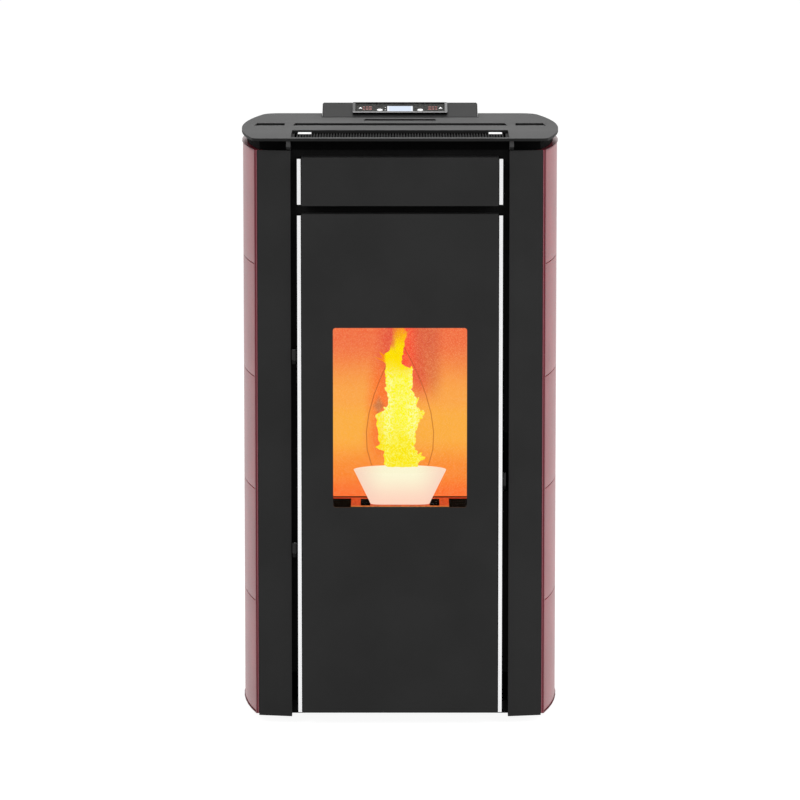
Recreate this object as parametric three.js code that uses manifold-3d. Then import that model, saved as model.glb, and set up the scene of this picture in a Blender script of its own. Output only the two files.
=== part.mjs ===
// A free-standing pellet stove with curved tiled sides, a hinged hopper lid and a glazed front door.
// Millimetres. x runs to the right, y to the rear and z up. While the pieces are made,
// y = 0 is the front edge of the side panels and z = 0 is the floor.
import * as THREE from "three";
import { mergeVertices } from "three/addons/utils/BufferGeometryUtils.js";
import Module from "manifold-3d";

const wasm = await Module();
wasm.setup();

// ---- Driving dimensions ----

// Clearance between pieces that touch or slide on each other
const gap = 0.3;

// Plan of the body: each flank is two arcs that meet at the widest point
const body = { halfWidth: 250, widestY: 175, frontRadius: 666, rearRadius: 432 };
const bodyRearY = 349.5;
const flankSteps = 10;
const filletSteps = 5;

// Plan of the top plate and the hopper lid, which overhang the body
const top = { halfWidth: 249.6, widestY: 150, frontRadius: 760, rearRadius: 695 };
const topFrontY = -30;
const topRearY = 366;
const topThickness = 4.2;
const topFrontCorner = 14;
const topRearCorner = 28;

// Sheet metal
const sheet = 2;
const panelSheet = 2;
const skinSheet = 1.5;

// Feet and floor pan
const bodyClearance = 14.5;
const footRadius = 17;
const footPad = 8;
const footStud = 5;
const footStudRise = 20;
const footInset = 60;
const frontFootY = 80;
const rearFootY = 300;

// Side panels: a steel carrier with a lip at each end, and a stack of tiles
const tileRows = 5;
const tileHeight = 177.2;
const tileJoint = 0.8;
const tileThickness = 10;
const tileChamfer = 1;
const lipSheet = 1;
const lipReturn = 3;
const ledge = 1.2;

// Front pillars
const pillarInnerX = 170;
const pillarOuterInset = 28;
const pillarInnerY = -12.5;
const pillarOuterY = -2.5;
const pillarDrop = 2.5;

// Front frame, behind the door
const frameFrontY = 3;
const frameHalfWidth = 205;

// Front door and the panel above it
const doorHalfWidth = 153;
const doorFrontY = -25;
const doorDepth = 22;
const doorBottomZ = 21.5;
const panelTopDrop = 9.5;
const upperPanelHeight = 75.7;
const panelGap = 12.6;
const trimWidth = 6.3;
const trimDepth = 4.5;
const trimReveal = 0.5;
const trimShort = 2.2;

// Door window
const windowHalfWidth = 104.5;
const windowBottomZ = 348.3;
const windowHeight = 283.3;
const windowCorner = 4;
const glassThickness = 4;
const glassOverlap = 9;
const glassFrameWidth = 6;
const glassFrameSetBack = 3.5;

// Door seal
const sealInset = 26;
const sealWidth = 6;
const sealCorner = 12;

// Door hinges, in the gap beside the door on the left
const hingeX = -164.7;
const hingeY = -16;
const hingeHeights = [268, 574];
const hingePin = 2.5;
const hingeKnuckle = 4.2;
const hingeLug = 6;
const knuckleLength = 16;

// Latch, in the gap beside the door on the right
const latchSlotBottomZ = 369;
const latchSlotHeight = 95;
const gapSlotInnerX = 159;
const gapSlotOuterX = 169.5;
const lowerSlotBottomZ = 35;
const lowerSlotHeight = 46;
const latchPivotY = -12;
const latchPivotRise = 17;
const latchPin = 3;
const latchX = 161.5;
const latchThickness = 4;
const latchArm = 8;
const latchNoseY = 9.5;
const latchNose = 4;
const latchLift = 2;

// Firebox
const hearthDrop = 21.3;
const fireboxHalfWidth = 134;
const fireboxDepth = 202.7;
const fireboxWall = 3;
const fireboxRise = 68.4;
const ashSpace = 141;
const linerThickness = 6;
const smokeChannel = 14;
const linerHeight = 312;
const linerLip = 4;
const teardropHalfWidth = 54;
const teardropBottom = 20;
const teardropHeight = 235;
const grooveWidth = 1.6;
const grooveDepth = 1;
const fireOpeningInset = 16;

// Burn pot and its holder
const potCentreY = 95;
const potRimHalfWidth = 73.5;
const potRimHalfDepth = 42;
const potBaseHalfWidth = 47;
const potBaseHalfDepth = 25;
const potHeight = 52.5;
const potWall = 4;
const potHole = 3;
const holderHalfWidth = 77.5;
const holderHalfDepth = 42;
const holderHeight = 9;
const holderBorder = 15;
const holderRib = 8;

// Ash drawer
const drawerHeight = 90;
const drawerSideGap = 14;
const drawerFrontRise = 20;

// Hot-air grille in the top plate
const grilleHalfWidth = 169.5;
const grilleFrontY = -13;
const grilleRearY = 96;
const grilleMargin = 4;
const grilleSlot = 4.4;
const grillePitch = 8.8;
const clipWidth = 21;
const clipLength = 18;
const clipHeight = 1.6;
const clipX = 149.5;

// Finger recesses in the top
const lidFrontY = 205;
const lidGap = 0.6;
const recessDepth = 3.4;
const recessLength = 44;
const centreRecessHalfWidth = 168.8;
const sideRecessInnerX = 183;
const sideRecessOuterX = 230.5;
const rearRecessHalfWidth = 57.6;
const rearRecessY = 271;
const rearRecessDepth = 2.5;
const rearRecessLength = 34;

// Top frame: the black band under the top plate
const neckHeight = 15.9;
const neckWall = 2;
const neckSetBack = 8;
const tabX = 173.2;
const tabWidth = 6.5;
const tabHeight = 9.2;
const tabReach = 27;
const tabDepth = 7;
const cableX = 170;
const cableY = 310;

// Lid hinge
const lidPinY = 360;
const lidPinDrop = 5;
const lidPin = 3;
const lidEye = 6;
const lidLug = 3;

// Control housing
const housingHalfWidth = 125;
const housingFrontY = 300;
const housingFrontHeight = 4.7;
const housingHeight = 21.8;
const housingCrestY = 360.5;
const housingBevel = 2;
const housingWall = 2;
const bezelWidth = 152.6;
const bezelLength = 46.5;
const bezelStart = 10.5;
const bezelBorder = 4.4;
const bezelFoot = 6.5;
const bezelThickness = 3;
const displayThickness = 1.5;
const buttonX = 32.5;
const buttonY = 25;
const buttonHalfWidth = 4.6;
const buttonHalfLength = 3.5;
const buttonRise = 1.1;
const buttonFlange = 1.6;
const buttonTravel = 0.8;

// Hopper
const hopperHalfWidth = 150;
const hopperFrontY = 212;
const hopperRearY = 345;
const hopperWall = 2;
const hopperStraight = 118;
const hopperNeckHalfWidth = 97;
const hopperOutletHalfWidth = 31;
const hopperFlange = 8;
const mouthInset = 4;
const mouthLength = 78;

// Auger
const augerY = 245;
const augerTubeRadius = 31;
const augerWall = 3;
const augerLength = 200;
const augerShaft = 8;
const augerPitch = 44;
const flightThickness = 2.5;
const flightClearance = 0.6;
const inletHeight = 60;
const chuteHalfWidth = 30;
const chuteHeight = 28;
const chuteReach = 56;
const chuteFall = 32;
const driveShaft = 5;
const driveLength = 16;
const gearboxHeight = 44;
const gearboxHalfWidth = 30;
const augerMotorRadius = 26;
const augerMotorHeight = 34;

// Flue fan
const flueX = -75;
const flueRise = 24;
const flueCasingRadius = 62;
const flueCasingDepth = 53.7;
const flueWall = 3;
const flueInlet = 22;
const flueWheel = 50;
const flueBlades = 8;
const collarX = -117;
const collarDrop = 135;
const collarRadius = 40;
const collarWall = 2;
const collarRearY = 390;
const flueMotorRadius = 30;
const flueMotorLength = 43;

// Room-air blower
const blowerY = 120;
const blowerRadius = 62;
const blowerHalfWidth = 75;
const blowerWheel = 50;
const blowerBlades = 10;
const blowerInlet = 36;
const blowerFoot = 35;
const blowerMotorRadius = 30;
const blowerMotorLength = 32;

// Igniter, combustion-air pipe and electrics
const igniterRadius = 6;
const igniterReach = 59;
const igniterTail = 32;
const airPipeX = 90;
const airPipeRise = 55;
const airPipeRadius = 25;
const airPipeWall = 2;
const airPipeRearY = 378;
const boardInset = 60;
const boardZ = 380;
const boardWidth = 130;
const boardHeight = 160;
const boardStandOff = 10;
const boardThickness = 1.6;
const boardPostInset = 8;
const boardPostRadius = 4;
const transformer = { inset: 14, width: 40, rise: 20, height: 40, depth: 34 };
const relay = { insets: [4, 26], width: 18, rise: 30, height: 30, depth: 18 };
const capacitor = { inset: 30, rise: 90, radius: 10, depth: 26 };
const terminals = { inset: 12, reach: 20, drop: 26, height: 12, depth: 14 };
const inletInset = 95;
const inletZ = 90;
const inletWidth = 50;
const inletBodyHeight = 30;
const inletFlange = 3;
const rockerWidth = 14;
const rockerHeight = 22;
const rockerTilt = 8;

// ---- Derived levels and planes ----

const footHeight = bodyClearance - gap;
const panelZ = bodyClearance;
const carrierTopZ = panelZ + 2 * ledge + tileRows * tileHeight + (tileRows + 1) * tileJoint;
const frameBackY = frameFrontY + sheet;
const rearPanelY = bodyRearY + gap;
const deckZ = carrierTopZ + gap;
const neckTopZ = deckZ + neckHeight;
const topZ = neckTopZ + gap;
const topFaceZ = topZ + topThickness;
const upperPanelTopZ = carrierTopZ - panelTopDrop;
const upperPanelBottomZ = upperPanelTopZ - upperPanelHeight;
const doorTopZ = upperPanelBottomZ - panelGap;
const doorBackY = doorFrontY + doorDepth;
const backPlateY = doorBackY - gap;
const windowTopZ = windowBottomZ + windowHeight;
const hearthZ = windowBottomZ - hearthDrop;
const fireboxTopZ = windowTopZ + fireboxRise;
const fireboxFrontY = frameBackY + gap;
const fireboxRearY = fireboxFrontY + fireboxDepth;
const fireboxBottomZ = hearthZ - 2 * fireboxWall - ashSpace;
const linerY = fireboxRearY - fireboxWall - smokeChannel - linerThickness;
const linerBottomZ = hearthZ + gap;
const potZ = hearthZ + holderHeight + gap;
const flueZ = hearthZ + flueRise;
const airPipeZ = fireboxBottomZ + airPipeRise;
const augerTopZ = fireboxTopZ;
const augerBottomZ = augerTopZ - augerLength;
const inletTopZ = augerBottomZ + inletHeight;
const hopperTopZ = deckZ - gap;
const lidPinZ = topZ - lidPinDrop;

// ---- Geometry helpers ----

function box(x0, x1, y0, y1, z0, z1) {
  const geometry = new THREE.BoxGeometry(x1 - x0, y1 - y0, z1 - z0);
  return geometry.translate((x0 + x1) / 2, (y0 + y1) / 2, (z0 + z1) / 2);
}

// A round bar along one axis; the centre gives the two other coordinates in x, y, z order.
function bar(axis, radius, from, to, [a, b], sides = 24) {
  const geometry = new THREE.CylinderGeometry(radius, radius, to - from, sides);
  const middle = (from + to) / 2;
  if (axis === "x") return geometry.rotateZ(-Math.PI / 2).translate(middle, a, b);
  if (axis === "y") return geometry.translate(a, middle, b);
  return geometry.rotateX(Math.PI / 2).translate(a, b, middle);
}

// Raises an outline in the x-y plane from z0 to z1; a chamfer draws in both ends.
function raise(points, z0, z1, { holes = [], chamfer = 0 } = {}) {
  const shape = new THREE.Shape(points.map(([u, v]) => new THREE.Vector2(u, v)));
  const geometry = new THREE.ExtrudeGeometry(shape, {
    depth: z1 - z0 - 2 * chamfer,
    bevelEnabled: chamfer > 0,
    bevelThickness: chamfer,
    bevelSize: chamfer,
    bevelOffset: -chamfer,
    bevelSegments: 1,
  });
  const blank = geometry.translate(0, 0, z0 + chamfer);
  return holes.length ? cut(blank, ...holes.map((hole) => raise(hole, z0 - 1, z1 + 1))) : blank;
}

function transformed(piece, matrix) {
  return toSolid(piece).transform(matrix.elements);
}

// Carries an outline in the y-z plane along x.
function alongX(points, x0, x1, options) {
  const turn = new THREE.Matrix4().makeBasis(
    new THREE.Vector3(0, 1, 0),
    new THREE.Vector3(0, 0, 1),
    new THREE.Vector3(1, 0, 0),
  );
  return transformed(raise(points, x0, x1, options), turn);
}

// Carries an outline in the x-z plane along y.
function alongY(points, y0, y1, options) {
  const turn = new THREE.Matrix4().makeRotationX(Math.PI / 2);
  return transformed(raise(points, -y1, -y0, options), turn);
}

function rectangle(u0, u1, v0, v1) {
  return [
    [u0, v0],
    [u1, v0],
    [u1, v1],
    [u0, v1],
  ];
}

function roundedRectangle(u0, u1, v0, v1, radius, steps = 3) {
  const corners = [
    [u1 - radius, v0 + radius, -90],
    [u1 - radius, v1 - radius, 0],
    [u0 + radius, v1 - radius, 90],
    [u0 + radius, v0 + radius, 180],
  ];
  return corners.flatMap(([u, v, start]) =>
    Array.from({ length: steps + 1 }, (_, i) => {
      const angle = THREE.MathUtils.degToRad(start + (90 * i) / steps);
      return [u + radius * Math.cos(angle), v + radius * Math.sin(angle)];
    }),
  );
}

function ellipse(u, v, halfU, halfV, steps = 14) {
  return Array.from({ length: steps }, (_, i) => {
    const angle = (2 * Math.PI * i) / steps;
    return [u + halfU * Math.cos(angle), v + halfV * Math.sin(angle)];
  });
}

function toSolid(piece) {
  if (piece instanceof wasm.Manifold) return piece;
  const bare = piece.clone();
  bare.deleteAttribute("normal");
  bare.deleteAttribute("uv");
  const merged = mergeVertices(bare, 1e-4);
  return new wasm.Manifold(
    new wasm.Mesh({
      numProp: 3,
      vertProperties: merged.attributes.position.array,
      triVerts: new Uint32Array(merged.index.array),
    }),
  );
}

function toGeometry(piece) {
  if (piece instanceof THREE.BufferGeometry) return piece;
  const { vertProperties, triVerts } = piece.getMesh();
  const indexed = new THREE.BufferGeometry();
  indexed.setAttribute("position", new THREE.BufferAttribute(vertProperties, 3));
  indexed.setIndex(new THREE.BufferAttribute(triVerts, 1));
  const geometry = indexed.toNonIndexed();
  geometry.computeVertexNormals();
  return geometry;
}

function join(...pieces) {
  return pieces.map(toSolid).reduce((whole, piece) => whole.add(piece));
}

function cut(blank, ...tools) {
  return tools.map(toSolid).reduce((rest, tool) => rest.subtract(tool), toSolid(blank));
}

function mirrored(points) {
  return points.map(([x, y]) => [-x, y]);
}

// ---- Plan outlines ----

// Half width of a plan at depth y, drawn in by inset.
function flankX(plan, y, inset = 0) {
  const radius = y < plan.widestY ? plan.frontRadius : plan.rearRadius;
  return plan.halfWidth - radius + Math.sqrt((radius - inset) ** 2 - (y - plan.widestY) ** 2);
}

function flank(plan, y0, y1, inset = 0) {
  return Array.from({ length: flankSteps + 1 }, (_, i) => {
    const y = y0 + ((y1 - y0) * i) / flankSteps;
    return [flankX(plan, y, inset), y];
  });
}

// The fillet between an end of the plan at endY and its flank. At the front the body lies
// towards +y, at the rear towards -y.
function fillet(plan, endY, towards, radius, inset) {
  const flankRadius = towards > 0 ? plan.frontRadius : plan.rearRadius;
  const flankCentre = plan.halfWidth - flankRadius;
  const y = endY + towards * radius;
  const x = flankCentre + Math.sqrt((flankRadius - inset - radius) ** 2 - (y - plan.widestY) ** 2);
  const start = (-towards * Math.PI) / 2;
  const meet = Math.atan2(y - plan.widestY, x - flankCentre);
  return Array.from({ length: filletSteps + 1 }, (_, i) => {
    const angle = start + ((meet - start) * i) / filletSteps;
    return [x + radius * Math.cos(angle), y + radius * Math.sin(angle)];
  });
}

// A plan closed across the front at y0 and the rear at y1, with rounded corners where a radius is given.
function planOutline(plan, y0, y1, { inset = 0, frontCorner = 0, rearCorner = 0 } = {}) {
  const front = frontCorner ? fillet(plan, y0, 1, frontCorner, inset) : [];
  const rear = rearCorner ? fillet(plan, y1, -1, rearCorner, inset).reverse() : [];
  const side = flank(
    plan,
    frontCorner ? front.at(-1)[1] : y0,
    rearCorner ? rear[0][1] : y1,
    inset,
  );
  const right = [
    ...front,
    ...side.slice(frontCorner ? 1 : 0, rearCorner ? -1 : undefined),
    ...rear,
  ];
  return [...right, ...mirrored(right).reverse()];
}

// ---- Materials ----

function finish(color, roughness, metalness = 0) {
  return new THREE.MeshStandardMaterial({ color, roughness, metalness });
}

const blackPaint = finish(0x2b2b2b, 0.55);
const greyPaint = finish(0x5c5c5c, 0.6);
const redPaint = finish(0x6e1626, 0.35);
const redGlaze = finish(0x8c3f4c, 0.18);
const brightTrim = finish(0xe8e8e8, 0.25, 0.9);
const bareSteel = finish(0x9a9c9e, 0.4, 0.9);
const zincSteel = finish(0xb4b6b8, 0.45, 0.8);
const castIron = finish(0x3a3a3a, 0.7, 0.5);
const firedClay = finish(0xe9d8cc, 0.7);
const liningPlate = finish(0xb8895a, 0.85);
const ropeSeal = finish(0x3f3f3f, 0.95);
const clearGlass = finish(0xd8c8b0, 0.05);
const blackPlastic = finish(0x1c1c1c, 0.4);
const displayPlastic = finish(0x303234, 0.2);
const whitePlastic = finish(0xf0f0f0, 0.35);
const boardGreen = finish(0x1f5a38, 0.6);
const rubber = finish(0x202020, 0.9);

const stove = new THREE.Group();

function add(name, piece, material, parent = stove) {
  const mesh = new THREE.Mesh(toGeometry(piece), material);
  mesh.name = name;
  parent.add(mesh);
  return mesh;
}

const sides = [
  ["left", -1],
  ["right", 1],
];

// ---- Base: floor pan and levelling feet ----

const footX = body.halfWidth - footInset;
const footPlaces = [
  ["front_left", -footX, frontFootY],
  ["front_right", footX, frontFootY],
  ["rear_left", -footX, rearFootY],
  ["rear_right", footX, rearFootY],
];
const carrierInset = lipSheet + tileThickness + 2 * gap + skinSheet;

function makeBasePan() {
  const outline = planOutline(body, fireboxFrontY, bodyRearY, { inset: carrierInset + gap });
  const holes = footPlaces.map(([, x, y]) => ellipse(x, y, footStud + gap, footStud + gap, 16));
  return raise(outline, panelZ, panelZ + sheet, { holes });
}

// A levelling foot: a rubber pad with a steel shoulder, and a stud up through the pan.
function makeFoot() {
  const profile = [
    [0, 0],
    [footRadius, 0],
    [footRadius, footPad - 2],
    [footRadius - 4, footPad],
    [footStud + 5, footPad],
    [footStud + 5, footHeight],
    [footStud, footHeight],
    [footStud, footHeight + footStudRise],
    [0, footHeight + footStudRise],
  ];
  const points = profile.map(([radius, height]) => new THREE.Vector2(radius, height));
  return new THREE.LatheGeometry(points, 12).rotateX(Math.PI / 2);
}

add("base_pan", makeBasePan(), blackPaint);
for (const [place, x, y] of footPlaces) {
  add("levelling_foot_" + place, makeFoot(), rubber).position.set(x, y, 0);
}

// ---- Side panels: carriers and tiles ----

// Plan of a carrier: a curved skin with a lip round the tiles' front and rear edges.
function carrierOutline() {
  const slot = carrierInset - skinSheet;
  const at = (y, inset) => [flankX(body, y, inset), y];
  return [
    at(0, 0),
    at(lipReturn, 0),
    at(lipReturn, lipSheet),
    at(lipSheet, lipSheet),
    ...flank(body, lipSheet, bodyRearY - lipSheet, slot),
    at(bodyRearY - lipSheet, lipSheet),
    at(bodyRearY - lipReturn, lipSheet),
    at(bodyRearY - lipReturn, 0),
    at(bodyRearY, 0),
    ...flank(body, bodyRearY, 0, carrierInset),
  ];
}

function makeCarrier(side) {
  const mirror = (points) => points.map(([x, y]) => [side * x, y]);
  const end = mirror([...flank(body, 0, bodyRearY, 0), ...flank(body, bodyRearY, 0, carrierInset)]);
  return join(
    raise(mirror(carrierOutline()), panelZ, carrierTopZ),
    raise(end, panelZ, panelZ + ledge),
    raise(end, carrierTopZ - ledge, carrierTopZ),
  );
}

function makeTile(side) {
  const start = lipSheet + gap;
  const end = bodyRearY - lipSheet - gap;
  const outline = [
    ...flank(body, start, end, lipSheet + gap),
    ...flank(body, end, start, lipSheet + gap + tileThickness),
  ].map(([x, y]) => [side * x, y]);
  return raise(outline, 0, tileHeight, { chamfer: tileChamfer });
}

for (const [name, side] of sides) {
  add("side_carrier_" + name, makeCarrier(side), redPaint);
  for (let row = 0; row < tileRows; row += 1) {
    const z = panelZ + ledge + tileJoint + row * (tileHeight + tileJoint);
    add(`side_tile_${name}_${row + 1}`, makeTile(side), redGlaze).position.z = z;
  }
}

// ---- Front pillars and front frame ----

const pillarOuterX = body.halfWidth - pillarOuterInset;

function makePillar(side) {
  const outline = [
    [pillarOuterX, pillarOuterY],
    [pillarInnerX, pillarInnerY],
    [pillarInnerX, frameFrontY - gap],
    [pillarInnerX + sheet, frameFrontY - gap],
    [pillarInnerX + sheet, pillarInnerY + sheet + 0.4],
    [pillarOuterX, pillarOuterY + sheet],
  ];
  const placed = outline.map(([x, y]) => [side * x, y]);
  return raise(placed, panelZ - pillarDrop, carrierTopZ);
}

for (const [name, side] of sides) {
  add("front_pillar_" + name, makePillar(side), blackPaint);
}

const fireOpening = {
  x: fireboxHalfWidth - fireOpeningInset,
  bottom: hearthZ + 7,
  top: windowTopZ + 13,
};
const ashOpening = {
  x: fireOpening.x,
  bottom: fireboxBottomZ + fireboxWall,
  top: hearthZ - fireboxWall - 20,
};

// The fixed half of a door hinge: a lug that reaches forward to the pin.
function makeFrameLug(z) {
  const lug = join(
    box(hingeX - 3.5, hingeX + 3.5, hingeY, frameFrontY + 1, z, z + hingeLug),
    bar("z", 3.5, z, z + hingeLug, [hingeX, hingeY], 16),
  );
  return cut(lug, bar("z", hingePin + gap, z - 1, z + hingeLug + 1, [hingeX, hingeY], 16));
}

function makeFrontFrame() {
  const slot = (side, bottom, height) => {
    const [x0, x1] = [side * gapSlotInnerX, side * gapSlotOuterX].sort((a, b) => a - b);
    return rectangle(x0, x1, bottom, bottom + height);
  };
  const holes = [
    rectangle(-fireOpening.x, fireOpening.x, fireOpening.bottom, fireOpening.top),
    rectangle(-ashOpening.x, ashOpening.x, ashOpening.bottom, ashOpening.top),
    slot(-1, lowerSlotBottomZ, lowerSlotHeight),
    slot(1, lowerSlotBottomZ, lowerSlotHeight),
    slot(1, latchSlotBottomZ, latchSlotHeight),
  ];
  const outline = rectangle(-frameHalfWidth, frameHalfWidth, panelZ, carrierTopZ);
  const plate = alongY(outline, frameFrontY, frameBackY, { holes });
  return join(plate, ...hingeHeights.map(makeFrameLug));
}

add("front_frame", makeFrontFrame(), blackPaint);
hingeHeights.forEach((z, i) => {
  const top = z + hingeLug + gap + knuckleLength;
  const pin = bar("z", hingePin, z, top, [hingeX, hingeY], 16);
  add("door_hinge_pin_" + ["lower", "upper"][i], pin, zincSteel);
});

// ---- Front door ----

// A panel folded back along all four edges and open behind.
function makeFoldedPanel(bottom, top, back) {
  const w = doorHalfWidth;
  const t = panelSheet;
  return cut(
    box(-w, w, doorFrontY, back, bottom, top),
    box(t - w, w - t, doorFrontY + t, back + 1, bottom + t, top - t),
  );
}

// The turning half of a door hinge: a knuckle above the lug, and a web to the door's edge.
function makeKnuckle(z) {
  const bottom = z + hingeLug + gap;
  return cut(
    join(
      bar("z", hingeKnuckle, bottom, bottom + knuckleLength, [hingeX, hingeY], 16),
      box(hingeX, 0.5 - doorHalfWidth, hingeY - 1.5, hingeY + 1.5, bottom, bottom + knuckleLength),
    ),
    bar("z", hingePin + gap, bottom - 1, bottom + knuckleLength + 1, [hingeX, hingeY], 16),
  );
}

const latchPivotZ = latchSlotBottomZ + latchPivotRise;

function makeDoorPanel() {
  const glazing = roundedRectangle(
    -windowHalfWidth,
    windowHalfWidth,
    windowBottomZ,
    windowTopZ,
    windowCorner,
  );
  return cut(
    join(makeFoldedPanel(doorBottomZ, doorTopZ, doorBackY), ...hingeHeights.map(makeKnuckle)),
    alongY(glazing, doorFrontY - 1, doorFrontY + panelSheet + 1),
    bar("x", latchPin + gap, doorHalfWidth - panelSheet - 1, doorHalfWidth + 1, [latchPivotY, latchPivotZ], 16),
  );
}

function makeTrim(side, bottom, top) {
  const inner = doorHalfWidth + trimReveal;
  const outer = inner + trimWidth;
  const half = trimWidth / 2;
  const outline = [
    [inner, doorFrontY + trimDepth],
    [inner, doorFrontY + 0.8],
    [inner + 0.8, doorFrontY],
    [inner + half - 0.5, doorFrontY],
    [inner + half, doorFrontY + 0.4],
    [inner + half + 0.5, doorFrontY],
    [outer - 0.8, doorFrontY],
    [outer, doorFrontY + 0.8],
    [outer, doorFrontY + trimDepth],
  ];
  return raise(outline.map(([x, y]) => [side * x, y]), bottom, top);
}

const glassFrameHalfWidth = windowHalfWidth + glassFrameSetBack;
const glassY = doorFrontY + panelSheet + gap;
const glassBackY = glassY + glassThickness;

function makeDoorGlass() {
  const x = windowHalfWidth + glassOverlap;
  const outline = rectangle(-x, x, windowBottomZ - glassOverlap, windowTopZ + glassOverlap);
  return alongY(outline, glassY, glassBackY);
}

// The plate that closes the door's back, with the frame that holds the glass.
function makeDoorBackPlate() {
  const x = doorHalfWidth - panelSheet - gap;
  const set = glassFrameSetBack;
  const outline = rectangle(-x, x, doorBottomZ + panelSheet + gap, doorTopZ - panelSheet - gap);
  const opening = rectangle(
    -glassFrameHalfWidth,
    glassFrameHalfWidth,
    windowBottomZ - set,
    windowTopZ + set,
  );
  const reach = set + glassFrameWidth;
  const frame = rectangle(
    -windowHalfWidth - reach,
    windowHalfWidth + reach,
    windowBottomZ - reach,
    windowTopZ + reach,
  );
  return join(
    alongY(outline, backPlateY - sheet, backPlateY, { holes: [opening] }),
    alongY(frame, glassBackY + gap, backPlateY - sheet + 0.5, { holes: [opening] }),
  );
}

// The rope seal, a loop round the fire and ash openings.
function makeDoorSeal() {
  const outer = doorHalfWidth - sealInset;
  const bottom = ashOpening.bottom - sealWidth - 4;
  const top = fireOpening.top + sealWidth + 3;
  const hole = roundedRectangle(
    sealWidth - outer,
    outer - sealWidth,
    bottom + sealWidth,
    top - sealWidth,
    sealCorner - sealWidth,
  );
  const outline = roundedRectangle(-outer, outer, bottom, top, sealCorner);
  return alongY(outline, backPlateY + gap, frameFrontY - gap, { holes: [hole], chamfer: 1.2 });
}

function makeLatchLever() {
  const low = latchPivotZ - latchArm / 2;
  const high = latchPivotZ + latchArm / 2;
  const noseBottom = latchSlotBottomZ + latchLift;
  const lever = [
    [doorFrontY + 4, low],
    [latchNoseY, low],
    [latchNoseY, noseBottom],
    [latchNoseY + latchNose, noseBottom + 1.5],
    [latchNoseY + latchNose, high - 2],
    [latchNoseY + latchNose - 2, high],
    [doorFrontY + 8, high],
    [doorFrontY + 7, high + 12],
    [doorFrontY + 4, high + 12],
  ];
  return join(
    alongX(lever, latchX, latchX + latchThickness),
    bar("x", latchPin, doorHalfWidth - panelSheet - 2, latchX + 1, [latchPivotY, latchPivotZ], 16),
  );
}

add("door_panel", makeDoorPanel(), blackPaint);
for (const [name, side] of sides) {
  add("door_trim_" + name, makeTrim(side, doorBottomZ, doorTopZ - trimShort), brightTrim);
}
add("door_glass", makeDoorGlass(), clearGlass);
add("door_back_plate", makeDoorBackPlate(), castIron);
add("door_seal", makeDoorSeal(), ropeSeal);
add("latch_lever", makeLatchLever(), blackPaint);

// ---- Upper front panel ----

const upperPanel = makeFoldedPanel(upperPanelBottomZ, upperPanelTopZ, frameFrontY - gap);
add("upper_front_panel", upperPanel, blackPaint);
for (const [name, side] of sides) {
  const trim = makeTrim(side, upperPanelBottomZ + trimShort, upperPanelTopZ - trimShort);
  add("upper_trim_" + name, trim, brightTrim);
}

// ---- Top frame, top plate, grille and hopper lid ----

const mouth = {
  x: hopperHalfWidth - mouthInset,
  front: hopperFrontY + mouthInset,
  rear: hopperFrontY + mouthInset + mouthLength,
};
const plinthHalfWidth = housingHalfWidth - 1;
const lidStudEnd = housingHalfWidth + 1 + lidLug + 1;

// The neck band round the body's top, its deck, and the plinth of the control housing with
// the two studs that the lid turns on.
function makeTopFrame() {
  const rearY = rearPanelY + sheet;
  const outline = planOutline(body, 0, rearY, { inset: neckSetBack });
  const inner = planOutline(body, neckWall, rearY - neckWall, { inset: neckSetBack + neckWall });
  const deckHoles = [
    rectangle(-grilleHalfWidth + 6, grilleHalfWidth - 6, frameBackY + 8, grilleRearY),
    rectangle(-mouth.x, mouth.x, mouth.front, mouth.rear),
  ];
  const plinth = cut(
    box(-plinthHalfWidth, plinthHalfWidth, housingFrontY - 2, topRearY, deckZ + 1, neckTopZ),
    box(
      3 - plinthHalfWidth,
      plinthHalfWidth - 3,
      housingFrontY + 1,
      topRearY - 3,
      deckZ,
      neckTopZ - 2.5,
    ),
  );
  const tabs = sides.flatMap(([, side]) => {
    const [x0, x1] = [side * (tabX - tabWidth / 2), side * (tabX + tabWidth / 2)].sort((a, b) => a - b);
    const tabBottom = neckTopZ - tabHeight;
    return [
      box(x0, x1, -tabReach, -tabReach + tabDepth, tabBottom, neckTopZ),
      box(x0, x1, -tabReach + tabDepth / 2, neckWall / 2, tabBottom, neckTopZ - sheet - 2 * gap),
    ];
  });
  const grilleNotch = grilleHalfWidth + grilleMargin + gap;
  // The cables pass through the plinth's top and its right wall, and down beside the hopper.
  const cableWays = [
    box(-40, 40, cableY, cableY + 20, neckTopZ - 4, neckTopZ + 1),
    box(plinthHalfWidth - 5, plinthHalfWidth + 1, cableY, cableY + 20, deckZ + 4, neckTopZ - 4),
    box(cableX, cableX + 20, cableY, cableY + 20, deckZ - 1, deckZ + sheet + 1),
  ];
  return cut(
    join(
      raise(outline, deckZ, deckZ + sheet, { holes: deckHoles }),
      raise(outline, deckZ, neckTopZ, { holes: [inner] }),
      plinth,
      bar("x", lidPin, -lidStudEnd, 2 - plinthHalfWidth, [lidPinY, lidPinZ], 16),
      bar("x", lidPin, plinthHalfWidth - 2, lidStudEnd, [lidPinY, lidPinZ], 16),
      ...tabs,
    ),
    box(-grilleNotch, grilleNotch, -1, neckWall + 1, neckTopZ - sheet - 2 * gap, neckTopZ + 1),
    ...cableWays,
  );
}

// A finger recess: flush at its front, and deepest at its far edge. Its far corners are cut
// back by the width and length given for its left and right end.
function recess(x0, x1, farY, depth, length, left, right) {
  const above = 1;
  const profile = [
    [farY - length, topFaceZ],
    [farY - length, topFaceZ + above],
    [farY, topFaceZ + above],
    [farY, topFaceZ - depth],
  ];
  const plan = [
    [x0, farY - length],
    [x1, farY - length],
    [x1, farY - right[1]],
    [x1 - right[0], farY],
    [x0 + left[0], farY],
    [x0, farY - left[1]],
  ];
  const reach = raise(plan, topFaceZ - depth - 1, topFaceZ + 2 * above);
  return toSolid(alongX(profile, x0, x1)).intersect(toSolid(reach));
}

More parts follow.
